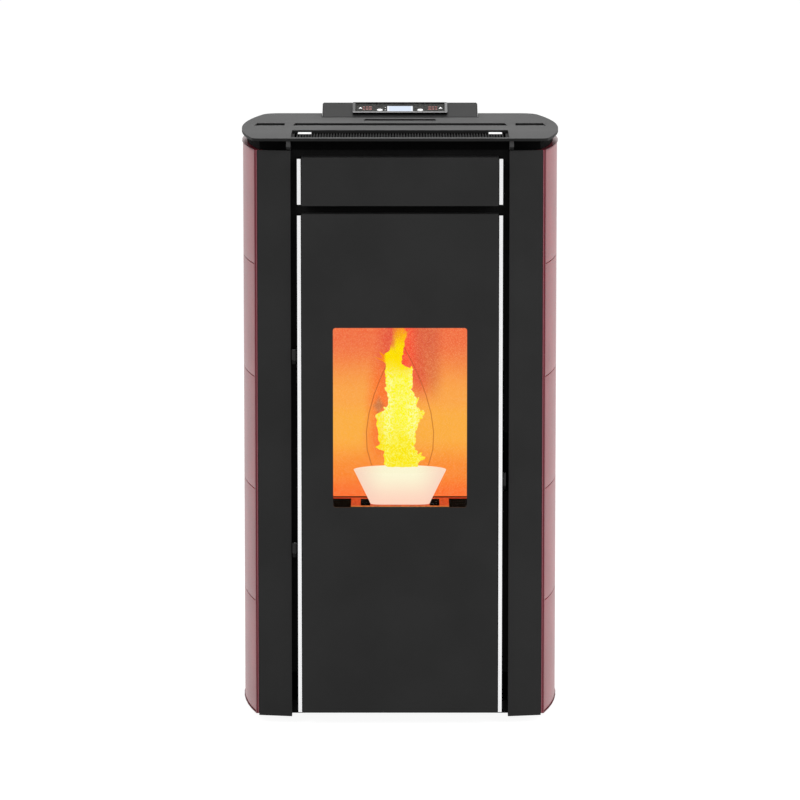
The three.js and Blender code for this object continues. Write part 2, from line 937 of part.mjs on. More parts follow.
function makeTopPlate() {
  const outline = planOutline(top, topFrontY, lidFrontY - lidGap / 2, { frontCorner: topFrontCorner });
  const opening = roundedRectangle(-grilleHalfWidth, grilleHalfWidth, grilleFrontY, grilleRearY, 2);
  const recessSpan = [lidFrontY + 1, recessDepth, recessLength];
  return cut(
    raise(outline, topZ, topFaceZ, { holes: [opening] }),
    recess(-centreRecessHalfWidth, centreRecessHalfWidth, ...recessSpan, [2.8, 20], [2.8, 20]),
    recess(sideRecessInnerX, sideRecessOuterX, ...recessSpan, [1.2, 9], [3.2, 34]),
    recess(-sideRecessOuterX, -sideRecessInnerX, ...recessSpan, [3.2, 34], [1.2, 9]),
  );
}

// The grille hangs under the plate's opening; two clips stand on it at the far edge.
function makeTopGrille() {
  const x = grilleHalfWidth + grilleMargin;
  const outline = rectangle(-x, x, grilleFrontY - grilleMargin, grilleRearY + grilleMargin);
  const count = Math.floor((2 * grilleHalfWidth - grillePitch) / grillePitch);
  const holes = Array.from({ length: count }, (_, i) => {
    const middle = (i - (count - 1) / 2) * grillePitch;
    const rearEnd = Math.abs(Math.abs(middle) - clipX) < clipWidth / 2 + grilleSlot
      ? grilleRearY - clipLength - 3
      : grilleRearY - 3;
    return rectangle(middle - grilleSlot / 2, middle + grilleSlot / 2, grilleFrontY + 3, rearEnd);
  });
  const topOfGrille = neckTopZ;
  const clips = sides.map(([, side]) => {
    const middle = side * clipX;
    return box(
      middle - clipWidth / 2,
      middle + clipWidth / 2,
      grilleRearY - clipLength - 1,
      grilleRearY - 1,
      topOfGrille - 1,
      topOfGrille + clipHeight,
    );
  });
  return join(raise(outline, topOfGrille - sheet, topOfGrille, { holes }), ...clips);
}

// The lid over the hopper, notched round the control housing, with two hinge eyes below.
function makeHopperLid() {
  const notch = housingHalfWidth + 1;
  const front = lidFrontY + lidGap / 2;
  const outline = planOutline(top, front, topRearY, { rearCorner: topRearCorner });
  const eyes = sides.map(([, side]) => {
    const [x0, x1] = [side * notch, side * (notch + lidLug)].sort((a, b) => a - b);
    return join(
      bar("x", lidEye, x0, x1, [lidPinY, lidPinZ], 20),
      box(x0, x1, lidPinY - lidEye + 0.5, lidPinY + lidEye - 0.5, lidPinZ, topZ + 1),
    );
  });
  return cut(
    join(raise(outline, topZ, topFaceZ), ...eyes),
    box(-notch, notch, housingFrontY - 2, topRearY + 5, topZ - 1, topFaceZ + 1),
    recess(
      -rearRecessHalfWidth,
      rearRecessHalfWidth,
      rearRecessY,
      rearRecessDepth,
      rearRecessLength,
      [2, 12],
      [2, 12],
    ),
    bar("x", lidPin + gap, -notch - lidLug - 1, notch + lidLug + 1, [lidPinY, lidPinZ], 16),
  );
}

add("top_frame", makeTopFrame(), blackPaint);
add("top_plate", makeTopPlate(), greyPaint);
add("top_grille", makeTopGrille(), greyPaint);
add("hopper_lid", makeHopperLid(), greyPaint);

// ---- Control housing, bezel, display and buttons ----

const crestZ = topZ + housingHeight;
const slopeRise = housingHeight - housingFrontHeight;
const slopeAngle = Math.atan2(slopeRise, housingCrestY - housingFrontY);

// Profile of the wedge in the y-z plane, drawn in by inset.
function housingProfile(inset) {
  const lift = inset / Math.cos(slopeAngle);
  return [
    [housingFrontY + inset, topZ],
    [topRearY - inset, topZ],
    [topRearY - inset, crestZ - 3 - lift],
    [housingCrestY + 1 - inset / 2, crestZ - lift],
    [housingCrestY - inset / 2, crestZ - lift],
    [housingFrontY + inset, topZ + housingFrontHeight - lift],
  ];
}

// The sloped face has its own frame: x across, y up the slope, z out of the face.
const slope = new THREE.Group();
slope.position.set(0, housingFrontY, topZ + housingFrontHeight);
slope.rotation.x = slopeAngle;
slope.updateMatrix();
stove.add(slope);

const bezelOpening = [
  -bezelWidth / 2 + bezelBorder,
  bezelWidth / 2 - bezelBorder,
  bezelStart + bezelFoot,
  bezelStart + bezelLength - 3,
];

function shrink([x0, x1, y0, y1], by) {
  return [x0 + by, x1 - by, y0 + by, y1 - by];
}

function makeHousing() {
  const shell = alongX(housingProfile(0), -housingHalfWidth, housingHalfWidth, {
    chamfer: housingBevel,
  });
  const hollow = alongX(
    housingProfile(housingWall).map(([y, z]) => [y, z === topZ ? z - 1 : z]),
    housingWall - housingHalfWidth,
    housingHalfWidth - housingWall,
  );
  const footing = box(
    -housingHalfWidth,
    housingHalfWidth,
    housingFrontY,
    topRearY,
    topZ,
    topZ + housingFrontHeight - 1,
  );
  const opening = raise(rectangle(...shrink(bezelOpening, 2.5)), -20, 10);
  return cut(join(shell, footing), hollow, transformed(opening, slope.matrix));
}

function makeBezel() {
  const outline = roundedRectangle(
    -bezelWidth / 2,
    bezelWidth / 2,
    bezelStart,
    bezelStart + bezelLength,
    2.5,
  );
  return raise(outline, gap, gap + bezelThickness, { holes: [rectangle(...bezelOpening)] });
}

const displayTop = gap + displayThickness;

function makeDisplay() {
  const holes = sides.map(([, side]) =>
    ellipse(side * buttonX, buttonY, buttonHalfWidth + 0.4, buttonHalfLength + 0.4),
  );
  return raise(rectangle(...shrink(bezelOpening, gap)), gap, displayTop, { holes });
}

function makeButton() {
  const cap = ellipse(0, 0, buttonHalfWidth, buttonHalfLength);
  const flange = ellipse(0, 0, buttonHalfWidth + buttonFlange, buttonHalfLength + buttonFlange);
  return join(
    raise(cap, -2, displayTop + buttonRise, { chamfer: 0.4 }),
    raise(flange, -2 + gap, 0),
  );
}

add("control_housing", makeHousing(), greyPaint);
add("control_bezel", makeBezel(), blackPlastic, slope);
add("display_panel", makeDisplay(), displayPlastic, slope);
for (const [name, side] of sides) {
  add("button_" + name, makeButton(), whitePlastic, slope).position.set(side * buttonX, buttonY, 0);
}

// ---- Rear panel ----

const rearPanelHalfWidth = flankX(body, bodyRearY) - 1;
const inletX = body.halfWidth - inletInset;
const ventSlot = { halfWidth: 40, height: 5, pitch: 14, rows: 6, x: 105, bottom: 560 };

function makeRearPanel() {
  const vents = sides.flatMap(([, side]) =>
    Array.from({ length: ventSlot.rows }, (_, row) => {
      const z = ventSlot.bottom + row * ventSlot.pitch;
      const x = side * ventSlot.x;
      return rectangle(x - ventSlot.halfWidth, x + ventSlot.halfWidth, z, z + ventSlot.height);
    }),
  );
  const inlet = rectangle(
    inletX - inletWidth / 2,
    inletX + inletWidth / 2,
    inletZ - inletBodyHeight / 2,
    inletZ + inletBodyHeight / 2,
  );
  const round = (x, z, radius) => ellipse(x, z, radius + gap, radius + gap, 24);
  const holes = [
    ...vents,
    inlet,
    round(collarX, flueZ - collarDrop, collarRadius),
    round(airPipeX, airPipeZ, airPipeRadius),
  ];
  const outline = rectangle(-rearPanelHalfWidth, rearPanelHalfWidth, panelZ, carrierTopZ);
  return alongY(outline, rearPanelY, rearPanelY + sheet, { holes });
}

add("rear_panel", makeRearPanel(), blackPaint);

// ---- Firebox, back liner, burn pot and ash drawer ----

const chuteHole = {
  x: chuteHalfWidth + gap,
  bottom: augerTopZ - 52,
  top: augerTopZ - 6,
};

// A welded box: the fire chamber above the hearth, and the ash compartment below it.
function makeFirebox() {
  const w = fireboxHalfWidth;
  const t = fireboxWall;
  const back = fireboxRearY - t;
  const ahead = fireboxFrontY - 1;
  const ashHole = holderHalfWidth - holderBorder;
  return cut(
    box(-w, w, fireboxFrontY, fireboxRearY, fireboxBottomZ, fireboxTopZ),
    box(t - w, w - t, ahead, back, hearthZ, fireboxTopZ - t),
    box(t - w, w - t, ahead, back, fireboxBottomZ + t, hearthZ - t),
    box(-ashHole, ashHole, potCentreY - 33, potCentreY + 33, hearthZ - t - 1, hearthZ + 1),
    bar("y", flueInlet, back - 1, fireboxRearY + 1, [flueX, flueZ]),
    bar("y", igniterRadius + gap, back - 1, fireboxRearY + 1, [0, flueZ], 16),
    bar("y", airPipeRadius + gap, back - 1, fireboxRearY + 1, [airPipeX, airPipeZ]),
    box(-chuteHole.x, chuteHole.x, back - 1, fireboxRearY + 1, chuteHole.bottom, chuteHole.top),
  );
}

// Half width of the pressed teardrop at a share of its height.
function teardropPoints(grow) {
  const steps = 12;
  const right = Array.from({ length: steps - 1 }, (_, i) => {
    const angle = (Math.PI * (i + 1)) / steps;
    const share = (1 - Math.cos(angle)) / 2;
    const width = teardropHalfWidth * 1.3 * Math.sin(angle) * Math.sqrt(1 - share);
    return [width + grow, linerBottomZ + teardropBottom + share * teardropHeight];
  });
  const bottom = [0, linerBottomZ + teardropBottom - grow];
  const tip = [0, linerBottomZ + teardropBottom + teardropHeight + 2 * grow];
  return [bottom, ...right, tip, ...mirrored(right).reverse()];
}

// The plate behind the fire, with a lip along its foot and a pressed teardrop line.
function makeBackLiner() {
  const x = fireboxHalfWidth - fireboxWall - gap;
  const groove = alongY(teardropPoints(grooveWidth / 2), linerY - 1, linerY + grooveDepth, {
    holes: [teardropPoints(-grooveWidth / 2)],
  });
  return cut(
    join(
      box(-x, x, linerY, linerY + linerThickness, linerBottomZ, linerBottomZ + linerHeight),
      box(-x, x, linerY - linerLip, linerY + 1, linerBottomZ, linerBottomZ + linerLip),
    ),
    groove,
    bar("y", igniterRadius + gap, linerY - 5, linerY + linerThickness + 1, [0, flueZ], 16),
  );
}

function makeBurnPotHolder() {
  const { x0, x1, y0, y1 } = {
    x0: -holderHalfWidth,
    x1: holderHalfWidth,
    y0: potCentreY - holderHalfDepth,
    y1: potCentreY + holderHalfDepth,
  };
  const t = sheet;
  const topOfHolder = hearthZ + holderHeight;
  const inner = holderHalfWidth - holderBorder;
  const windowFront = y0 + 10;
  const windowRear = y1 - 10;
  const seatX = potBaseHalfWidth - holderRib;
  const seatY = potBaseHalfDepth - holderRib;
  return cut(
    box(x0, x1, y0, y1, hearthZ + gap, topOfHolder),
    box(x0 + t, x1 - t, y0 + t, y1 - t, hearthZ, topOfHolder - t),
    box(-inner, -potBaseHalfWidth, windowFront, windowRear, hearthZ, topOfHolder + 1),
    box(potBaseHalfWidth, inner, windowFront, windowRear, hearthZ, topOfHolder + 1),
    box(-seatX, seatX, potCentreY - seatY, potCentreY + seatY, hearthZ, topOfHolder + 1),
  );
}

// One level of the bowl: its outline goes from a blunt rectangle at the base to an ellipse at the rim.
function bowlRing(share, inset, steps) {
  const halfX = THREE.MathUtils.lerp(potBaseHalfWidth, potRimHalfWidth, share) - inset;
  const halfY = THREE.MathUtils.lerp(potBaseHalfDepth, potRimHalfDepth, share) - inset;
  const power = THREE.MathUtils.lerp(0.35, 1, share);
  return Array.from({ length: steps }, (_, i) => {
    const angle = (2 * Math.PI * i) / steps;
    const blunt = (value) => Math.sign(value) * Math.abs(value) ** power;
    return [halfX * blunt(Math.cos(angle)), halfY * blunt(Math.sin(angle))];
  });
}

// A closed solid through rings of equal point counts, each given with its height.
function loft(rings) {
  const steps = rings[0].points.length;
  const position = rings.flatMap(({ points, z }) => points.flatMap(([x, y]) => [x, y, z]));
  const index = [];
  for (let level = 0; level < rings.length - 1; level += 1) {
    for (let i = 0; i < steps; i += 1) {
      const a = level * steps + i;
      const b = level * steps + ((i + 1) % steps);
      index.push(a, b, b + steps, a, b + steps, a + steps);
    }
  }
  const last = (rings.length - 1) * steps;
  for (let i = 1; i < steps - 1; i += 1) {
    index.push(0, i + 1, i, last, last + i, last + i + 1);
  }
  const geometry = new THREE.BufferGeometry();
  geometry.setAttribute("position", new THREE.Float32BufferAttribute(position, 3));
  geometry.setIndex(index);
  const flat = geometry.toNonIndexed();
  flat.computeVertexNormals();
  return flat;
}

function makeBurnPot() {
  const steps = 24;
  const outer = [0, 0.5, 1].map((share) => ({
    points: bowlRing(share, 0, steps),
    z: share * potHeight,
  }));
  const inner = [potWall / potHeight, 0.5, 1.04].map((share) => ({
    points: bowlRing(share, potWall, steps),
    z: share * potHeight,
  }));
  const airHoles = [-22, 0, 22].flatMap((x) =>
    [-8, 8].map((y) => bar("z", potHole, -1, potWall + 1, [x, y], 6)),
  );
  return cut(loft(outer), loft(inner), ...airHoles);
}

// An open tray with a front plate and a pull.
function makeAshDrawer() {
  const x = fireboxHalfWidth - fireboxWall - drawerSideGap;
  const front = frameBackY + 7;
  const rear = fireboxRearY - fireboxWall - 15;
  const bottom = fireboxBottomZ + fireboxWall + gap;
  const rim = bottom + drawerHeight;
  const pullZ = bottom + drawerHeight * 0.6;
  return join(
    cut(
      box(-x, x, front, rear, bottom, rim),
      box(sheet - x, x - sheet, front + sheet, rear - sheet, bottom + sheet, rim + 1),
    ),
    box(-x, x, front, front + sheet, bottom, rim + drawerFrontRise),
    box(-35, 35, frameFrontY - 2, front + 1, pullZ, pullZ + 3),
    box(-35, 35, frameFrontY - 2, frameFrontY, pullZ - 10, pullZ + 3),
  );
}

add("firebox", makeFirebox(), castIron);
add("firebox_back_liner", makeBackLiner(), liningPlate);
add("burn_pot_holder", makeBurnPotHolder(), bareSteel);
add("burn_pot", makeBurnPot(), firedClay).position.set(0, potCentreY, potZ);
add("ash_drawer", makeAshDrawer(), zincSteel);

// ---- Hopper, auger and chute ----

// Levels of the hopper, from its outlet up to its open top.
const hopperThroatFrontY = augerY + augerTubeRadius + 3;
const hopperLevels = [
  { z: inletTopZ + gap, x: hopperOutletHalfWidth, front: hopperThroatFrontY },
  { z: inletTopZ + 40, x: hopperOutletHalfWidth, front: hopperThroatFrontY },
  { z: augerTopZ + 6, x: hopperNeckHalfWidth, front: hopperThroatFrontY },
  { z: hopperTopZ - hopperStraight, x: hopperHalfWidth, front: hopperFrontY },
  { z: hopperTopZ, x: hopperHalfWidth, front: hopperFrontY },
];

function hopperSolid(inset, extra) {
  const last = hopperLevels.length - 1;
  return loft(
    hopperLevels.map(({ z, x, front }, level) => ({
      points: rectangle(inset - x, x - inset, front + inset, hopperRearY - inset),
      z: z + (level === last ? extra : 0) - (level === 0 ? extra : 0),
    })),
  );
}

function makeHopper() {
  const x = hopperHalfWidth + hopperFlange;
  const flange = box(
    -x,
    x,
    hopperFrontY - hopperFlange / 2,
    hopperRearY + 2,
    hopperTopZ - hopperWall,
    hopperTopZ,
  );
  return cut(join(hopperSolid(0, 0), flange), hopperSolid(hopperWall, 1));
}

// The auger's upright tube, with the inlet box behind it and the chute in front.
function makeAugerTube() {
  const boreRadius = augerTubeRadius - augerWall;
  const tube = bar("z", augerTubeRadius, augerBottomZ, augerTopZ, [0, augerY]);
  const bore = bar("z", boreRadius, augerBottomZ - 1, augerTopZ - 2, [0, augerY]);
  const inletX0 = hopperOutletHalfWidth;
  const inletBox = box(-inletX0, inletX0, augerY + 10, hopperRearY, augerBottomZ + 2, inletTopZ);
  const inletSpace = [
    [augerY, augerBottomZ + 5],
    [augerY + augerTubeRadius, augerBottomZ + 5],
    [hopperRearY - 2, inletTopZ - 14],
    [hopperRearY - 2, inletTopZ + 1],
    [hopperThroatFrontY + 2, inletTopZ + 1],
    [augerY + 14, inletTopZ - 4],
    [augerY, inletTopZ - 4],
  ];
  const tubeFrontY = augerY - augerTubeRadius;
  const chuteEndY = tubeFrontY - chuteReach - (tubeFrontY - fireboxRearY);
  const chuteTopZ = augerTopZ - 36;
  const floorLine = [
    [augerY - boreRadius + 2, chuteTopZ],
    [chuteEndY, chuteTopZ - chuteFall],
  ];
  const underside = floorLine.map(([y, z]) => [y, z - 2]);
  const floor = [...floorLine, ...underside.slice().reverse()];
  const cheek = [
    ...underside,
    [chuteEndY, chuteTopZ - chuteFall + chuteHeight - 8],
    [fireboxRearY - 8, chuteTopZ + chuteHeight - 0.5],
    [augerY - boreRadius + 2, chuteTopZ + chuteHeight - 0.5],
  ];
  const c = chuteHalfWidth;
  return cut(
    join(
      tube,
      inletBox,
      alongX(floor, -c, c),
      alongX(cheek, -c, 2 - c),
      alongX(cheek, c - 2, c),
    ),
    bore,
    alongX(inletSpace, 2 - inletX0, inletX0 - 2),
    box(-18, 18, tubeFrontY - 2, augerY, chuteTopZ, chuteTopZ + chuteHeight - 4),
  );
}

// One section, a shaft with a fin, turns as it climbs and so leaves a helical flight.
function makeAugerScrew() {
  const perTurn = 10;
  const shaftSides = 8;
  const bottom = augerBottomZ + 3;
  const rise = augerPitch / perTurn;
  const steps = Math.floor((augerTopZ - 5 - bottom) / rise);
  const finAngle = (2 * Math.PI * flightThickness) / augerPitch;
  const outer = augerTubeRadius - augerWall - flightClearance;
  const shaftAngles = Array.from(
    { length: shaftSides },
    (_, i) => finAngle + ((2 * Math.PI - finAngle) * i) / shaftSides,
  );
  const section = [
    [augerShaft, 0],
    [outer, 0],
    [outer, finAngle],
    ...shaftAngles.map((angle) => [augerShaft, angle]),
  ];
  const rings = Array.from({ length: steps + 1 }, (_, k) => ({
    points: section.map(([radius, angle]) => {
      const turned = angle + (2 * Math.PI * k) / perTurn;
      return [radius * Math.cos(turned), radius * Math.sin(turned)];
    }),
    z: bottom + k * rise,
  }));
  const stub = bar("z", driveShaft, augerBottomZ - driveLength + gap, bottom + 1, [0, 0], 12);
  return join(loft(rings), stub);
}

function makeAugerMotor() {
  const gearboxTop = augerBottomZ - gap;
  const gearboxBottom = gearboxTop - gearboxHeight;
  const h = gearboxHalfWidth;
  const motorBottom = gearboxBottom - augerMotorHeight;
  return cut(
    join(
      box(-h, h, augerY - h, augerY + h, gearboxBottom, gearboxTop),
      bar("z", augerMotorRadius, motorBottom, gearboxBottom + 1, [0, augerY]),
    ),
    bar("z", driveShaft + gap, gearboxTop - driveLength, gearboxTop + 1, [0, augerY], 16),
  );
}

add("hopper", makeHopper(), zincSteel);
add("auger_tube", makeAugerTube(), bareSteel);
add("auger_screw", makeAugerScrew(), bareSteel).position.y = augerY;
add("auger_motor", makeAugerMotor(), blackPaint);

// ---- Flue fan ----

const flueFrontY = fireboxRearY + gap;
const flueBackY = flueFrontY + flueCasingDepth;
const collarZ = flueZ - collarDrop;
const fanShaft = 4.5;
const fanShaftLength = 16;

// The casing with its outlet duct, the flue collar and the motor's shell.
function makeFlueFanHousing() {
  const t = flueWall;
  const r = flueCasingRadius;
  const f = collarRadius + t;
  const duct = [flueX - r, flueX - r + 40];
  const outer = join(
    bar("y", r, flueFrontY, flueBackY, [flueX, flueZ]),
    box(duct[0], duct[1], flueFrontY + 3, flueBackY, collarZ, flueZ),
    box(collarX - f, collarX + f, flueFrontY + 3, flueBackY, collarZ - f, collarZ + f),
    bar("y", collarRadius, flueBackY - 2, collarRearY, [collarX, collarZ]),
    bar("y", flueMotorRadius, flueBackY - 1, flueBackY + flueMotorLength, [flueX, flueZ]),
  );
  return cut(
    outer,
    bar("y", r - t, flueFrontY + t, flueBackY - t, [flueX, flueZ]),
    box(duct[0] + t, duct[1] - t, flueFrontY + 2 * t, flueBackY - t, collarZ, flueZ),
    box(collarX - f + t, collarX + f - t, flueFrontY + 2 * t, flueBackY - t, collarZ - f + t, collarZ + f - t),
    bar("y", collarRadius - collarWall, flueBackY - t - 1, collarRearY + 1, [collarX, collarZ]),
    bar("y", flueInlet, flueFrontY - 1, flueFrontY + t + 1, [flueX, flueZ]),
    bar("y", fanShaft + gap, flueBackY - t - 1, flueBackY + fanShaftLength, [flueX, flueZ], 16),
  );
}

// Radial blades on a disc, turning about the mesh's own z axis.
function makeRadialWheel(radius, hubRadius, depth, blades) {
  const disc = bar("z", radius, 0, 2.5, [0, 0]);
  const hub = bar("z", hubRadius, 0, depth, [0, 0], 16);
  const blade = Array.from({ length: blades }, (_, i) => {
    const angle = (2 * Math.PI * i) / blades;
    return box(hubRadius - 2, radius - 1, -1, 1, 1, depth).rotateZ(angle);
  });
  return join(disc, hub, ...blade);
}

function makeFlueWheel() {
  const start = flueFrontY + flueWall + 12;
  const back = flueBackY - flueWall - 5;
  const wheel = makeRadialWheel(flueWheel, 10, back - start, flueBlades);
  // The disc sits at the back, next to the motor, and the blades reach forward.
  return join(
    wheel.rotate([90, 0, 0]).translate([0, back, 0]),
    bar("y", fanShaft, back - 5, flueBackY + fanShaftLength - 1, [0, 0], 16),
  );
}

add("flue_fan_housing", makeFlueFanHousing(), bareSteel);
add("flue_fan_wheel", makeFlueWheel(), zincSteel).position.set(flueX, 0, flueZ);

// ---- Room-air blower ----

const blowerZ = panelZ + sheet + gap + 3 + blowerRadius + 14;
const blowerTopZ = fireboxBottomZ - 4;

function makeBlowerHousing() {
  const w = blowerHalfWidth;
  const r = blowerRadius;
  const t = skinSheet * 2;
  const centre = [blowerY, blowerZ];
  const outlet = [blowerY - r, blowerY - r + 48];
  const outer = join(
    bar("x", r, -w, w, centre),
    box(-w, w, outlet[0], outlet[1], blowerZ, blowerTopZ),
    box(-w, w, blowerY - blowerFoot, blowerY + blowerFoot, panelZ + sheet + gap, blowerZ - r + 8),
    bar("x", blowerMotorRadius, -w - blowerMotorLength, 1 - w, centre),
  );
  return cut(
    outer,
    bar("x", r - t, t - w, w - t, centre),
    box(t - w, w - t, outlet[0] + t, outlet[1] - t, blowerZ, blowerTopZ + 1),
    bar("x", blowerInlet, w - t - 1, w + 1, centre),
    bar("x", fanShaft + gap, -w - fanShaftLength, t + 1 - w, centre, 16),
  );
}

// A drum of blades between a disc and a ring.
function makeBlowerWheel() {
  const left = 6 - blowerHalfWidth;
  const right = blowerHalfWidth - 8;
  const ring = cut(
    bar("x", blowerWheel, right - 3, right, [0, 0]),
    bar("x", blowerWheel - 10, right - 4, right + 1, [0, 0]),
  );
  const blades = Array.from({ length: blowerBlades }, (_, i) => {
    const angle = (2 * Math.PI * i) / blowerBlades;
    return box(left + 1, right - 1, -1, 1, blowerWheel - 9, blowerWheel - 1).rotateX(angle);
  });
  return join(
    bar("x", blowerWheel, left, left + 3, [0, 0]),
    ring,
    ...blades,
    bar("x", fanShaft, -blowerHalfWidth - fanShaftLength + 1, left + 10, [0, 0], 16),
  );
}

add("room_blower_housing", makeBlowerHousing(), zincSteel);
add("room_blower_wheel", makeBlowerWheel(), blackPlastic).position.set(0, blowerY, blowerZ);

// ---- Igniter and combustion-air pipe ----

function makeIgniter() {
  const flangeY = fireboxRearY + gap;
  const tip = linerY - igniterReach + linerThickness;
  return join(
    bar("y", igniterRadius, tip, flangeY + igniterTail, [0, flueZ], 16),
    bar("y", igniterRadius + 4, flangeY, flangeY + 4, [0, flueZ], 16),
  );
}

function makeAirPipe() {
  const start = fireboxRearY - fireboxWall;
  const centre = [airPipeX, airPipeZ];
  return cut(
    join(
      bar("y", airPipeRadius, start, airPipeRearY, centre),
      bar("y", airPipeRadius + 7, fireboxRearY + gap, fireboxRearY + gap + 2, centre),
    ),
    bar("y", airPipeRadius - airPipeWall, start - 1, airPipeRearY + 1, centre),
  );
}

add("igniter", makeIgniter(), bareSteel);
add("air_inlet_pipe", makeAirPipe(), zincSteel);

// ---- Control board, mains inlet and switch ----

function makeControlBoard() {
  const back = rearPanelY - gap;
  const boardY = back - boardStandOff;
  const x1 = body.halfWidth - boardInset;
  const x0 = x1 - boardWidth;
  const z0 = boardZ - boardHeight / 2;
  const z1 = boardZ + boardHeight / 2;
  const posts = [x0 + boardPostInset, x1 - boardPostInset].flatMap((x) =>
    [z0 + boardPostInset, z1 - boardPostInset].map((z) =>
      bar("y", boardPostRadius, boardY - 1, back, [x, z], 8),
    ),
  );
  const part = (left, right, depth, low, high) =>
    box(left, right, boardY - depth, boardY - 1, low, high);
  const transformerX = x0 + transformer.inset;
  const transformerZ = z0 + transformer.rise;
  const relayZ = z0 + relay.rise;
  const relays = relay.insets.map((inset) =>
    part(x1 - inset - relay.width, x1 - inset, relay.depth, relayZ, relayZ + relay.height),
  );
  const can = [x1 - capacitor.inset, z0 + capacitor.rise];
  const terminalZ = z1 - terminals.drop;
  return join(
    box(x0, x1, boardY - boardThickness, boardY, z0, z1),
    ...posts,
    part(
      transformerX,
      transformerX + transformer.width,
      transformer.depth,
      transformerZ,
      transformerZ + transformer.height,
    ),
    ...relays,
    bar("y", capacitor.radius, boardY - capacitor.depth, boardY - 1, can, 16),
    part(
      x0 + terminals.inset,
      x1 - terminals.reach,
      terminals.depth,
      terminalZ,
      terminalZ + terminals.height,
    ),
  );
}

const inletBackY = rearPanelY - 24;
const inletFaceY = rearPanelY + sheet + gap;
const rockerX = inletX + 14;
const rockerWellY = inletFaceY + inletFlange - 11;
const socketX = inletX - 10;

// One moulded module: the appliance inlet with its three pins, and the well of the switch.
function makeMainsInlet() {
  const x = inletWidth / 2 - gap;
  const z = inletBodyHeight / 2 - gap;
  const flange = roundedRectangle(
    inletX - inletWidth / 2 - 3,
    inletX + inletWidth / 2 + 3,
    inletZ - inletBodyHeight / 2 - 3,
    inletZ + inletBodyHeight / 2 + 3,
    3,
  );
  const face = inletFaceY + inletFlange;
  const pin = (dx, dz) =>
    box(socketX + dx - 1, socketX + dx + 1, inletBackY + 3, face - 4, inletZ + dz - 2, inletZ + dz + 2);
  const shell = cut(
    join(
      box(inletX - x, inletX + x, inletBackY, inletFaceY + 1, inletZ - z, inletZ + z),
      alongY(flange, inletFaceY, face),
    ),
    box(socketX - 11, socketX + 11, inletBackY + 5, face + 1, inletZ - 8, inletZ + 8),
    box(
      rockerX - rockerWidth / 2,
      rockerX + rockerWidth / 2,
      rockerWellY,
      face + 1,
      inletZ - rockerHeight / 2,
      inletZ + rockerHeight / 2,
    ),
  );
  return join(shell, pin(-7, -1.5), pin(0, 2), pin(7, -1.5));
}

// The rocker tips about its own x axis, and rests with its lower end out.
function makeRocker() {
  const h = rockerHeight / 2 - 0.7;
  const rise = inletFaceY + inletFlange - rockerPivotY;
  const bend = h * Math.tan(THREE.MathUtils.degToRad(rockerTilt));
  const profile = [
    [-3.5, -h],
    [-3.5, h],
    [rise - 0.5, h],
    [rise - 0.5 + bend / 2, 0],
    [rise - 0.5, -h],
  ];
  return alongX(profile, gap - rockerWidth / 2, rockerWidth / 2 - gap);
}

const rockerPivotY = rockerWellY + 6;
add("control_board", makeControlBoard(), boardGreen);
add("mains_inlet", makeMainsInlet(), blackPlastic);
const rocker = add("power_switch", makeRocker(), blackPlastic);
rocker.position.set(rockerX, rockerPivotY, inletZ);
rocker.rotation.x = THREE.MathUtils.degToRad(rockerTilt);

// ---- Origin: the middle of the bounding box, on the floor ----

stove.position.y = -(topFrontY + collarRearY) / 2;

const pelletStove = new THREE.Group();
pelletStove.add(stove);

export default pelletStove;
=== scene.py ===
"""A pellet stove with curved glazed side tiles, a hopper lid and a glazed door, its fire lit."""

import math
import random

import bpy
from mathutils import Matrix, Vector, noise


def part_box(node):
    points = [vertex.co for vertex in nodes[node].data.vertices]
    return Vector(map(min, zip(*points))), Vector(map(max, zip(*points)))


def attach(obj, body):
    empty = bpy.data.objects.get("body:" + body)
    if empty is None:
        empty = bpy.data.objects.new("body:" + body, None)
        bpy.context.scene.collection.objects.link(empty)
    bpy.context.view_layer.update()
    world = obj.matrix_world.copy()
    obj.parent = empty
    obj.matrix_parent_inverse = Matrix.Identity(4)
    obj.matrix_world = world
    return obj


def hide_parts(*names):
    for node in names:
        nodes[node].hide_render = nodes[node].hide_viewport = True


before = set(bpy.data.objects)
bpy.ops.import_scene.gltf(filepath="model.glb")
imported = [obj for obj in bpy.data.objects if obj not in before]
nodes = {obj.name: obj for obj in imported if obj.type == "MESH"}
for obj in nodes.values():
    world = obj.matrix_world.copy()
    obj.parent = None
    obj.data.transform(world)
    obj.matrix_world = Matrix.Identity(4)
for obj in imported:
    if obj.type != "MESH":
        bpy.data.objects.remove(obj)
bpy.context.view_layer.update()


# Base pan and levelling feet
# The pan is a flat steel sheet in black powder coat that closes the body below. Each foot is a
# moulded rubber pad on a threaded stud, screwed up through the pan.


def linear(red, green, blue):
    """A screen colour of 0 to 255 as the linear colour that a shader takes."""

    def channel(value):
        value /= 255
        return value / 12.92 if value <= 0.04045 else ((value + 0.055) / 1.055) ** 2.4

    return (channel(red), channel(green), channel(blue), 1.0)


def feed(tree, target, values):
    """Sets inputs of a node, each to a value or to another node's output."""
    for name, value in values.items():
        if isinstance(value, bpy.types.NodeSocket):
            tree.links.new(value, target.inputs[name])
        else:
            target.inputs[name].default_value = value


def add_node(tree, kind, settings=None, inputs=None):
    made = tree.nodes.new(kind)
    for name, value in (settings or {}).items():
        setattr(made, name, value)
    feed(tree, made, inputs or {})
    return made


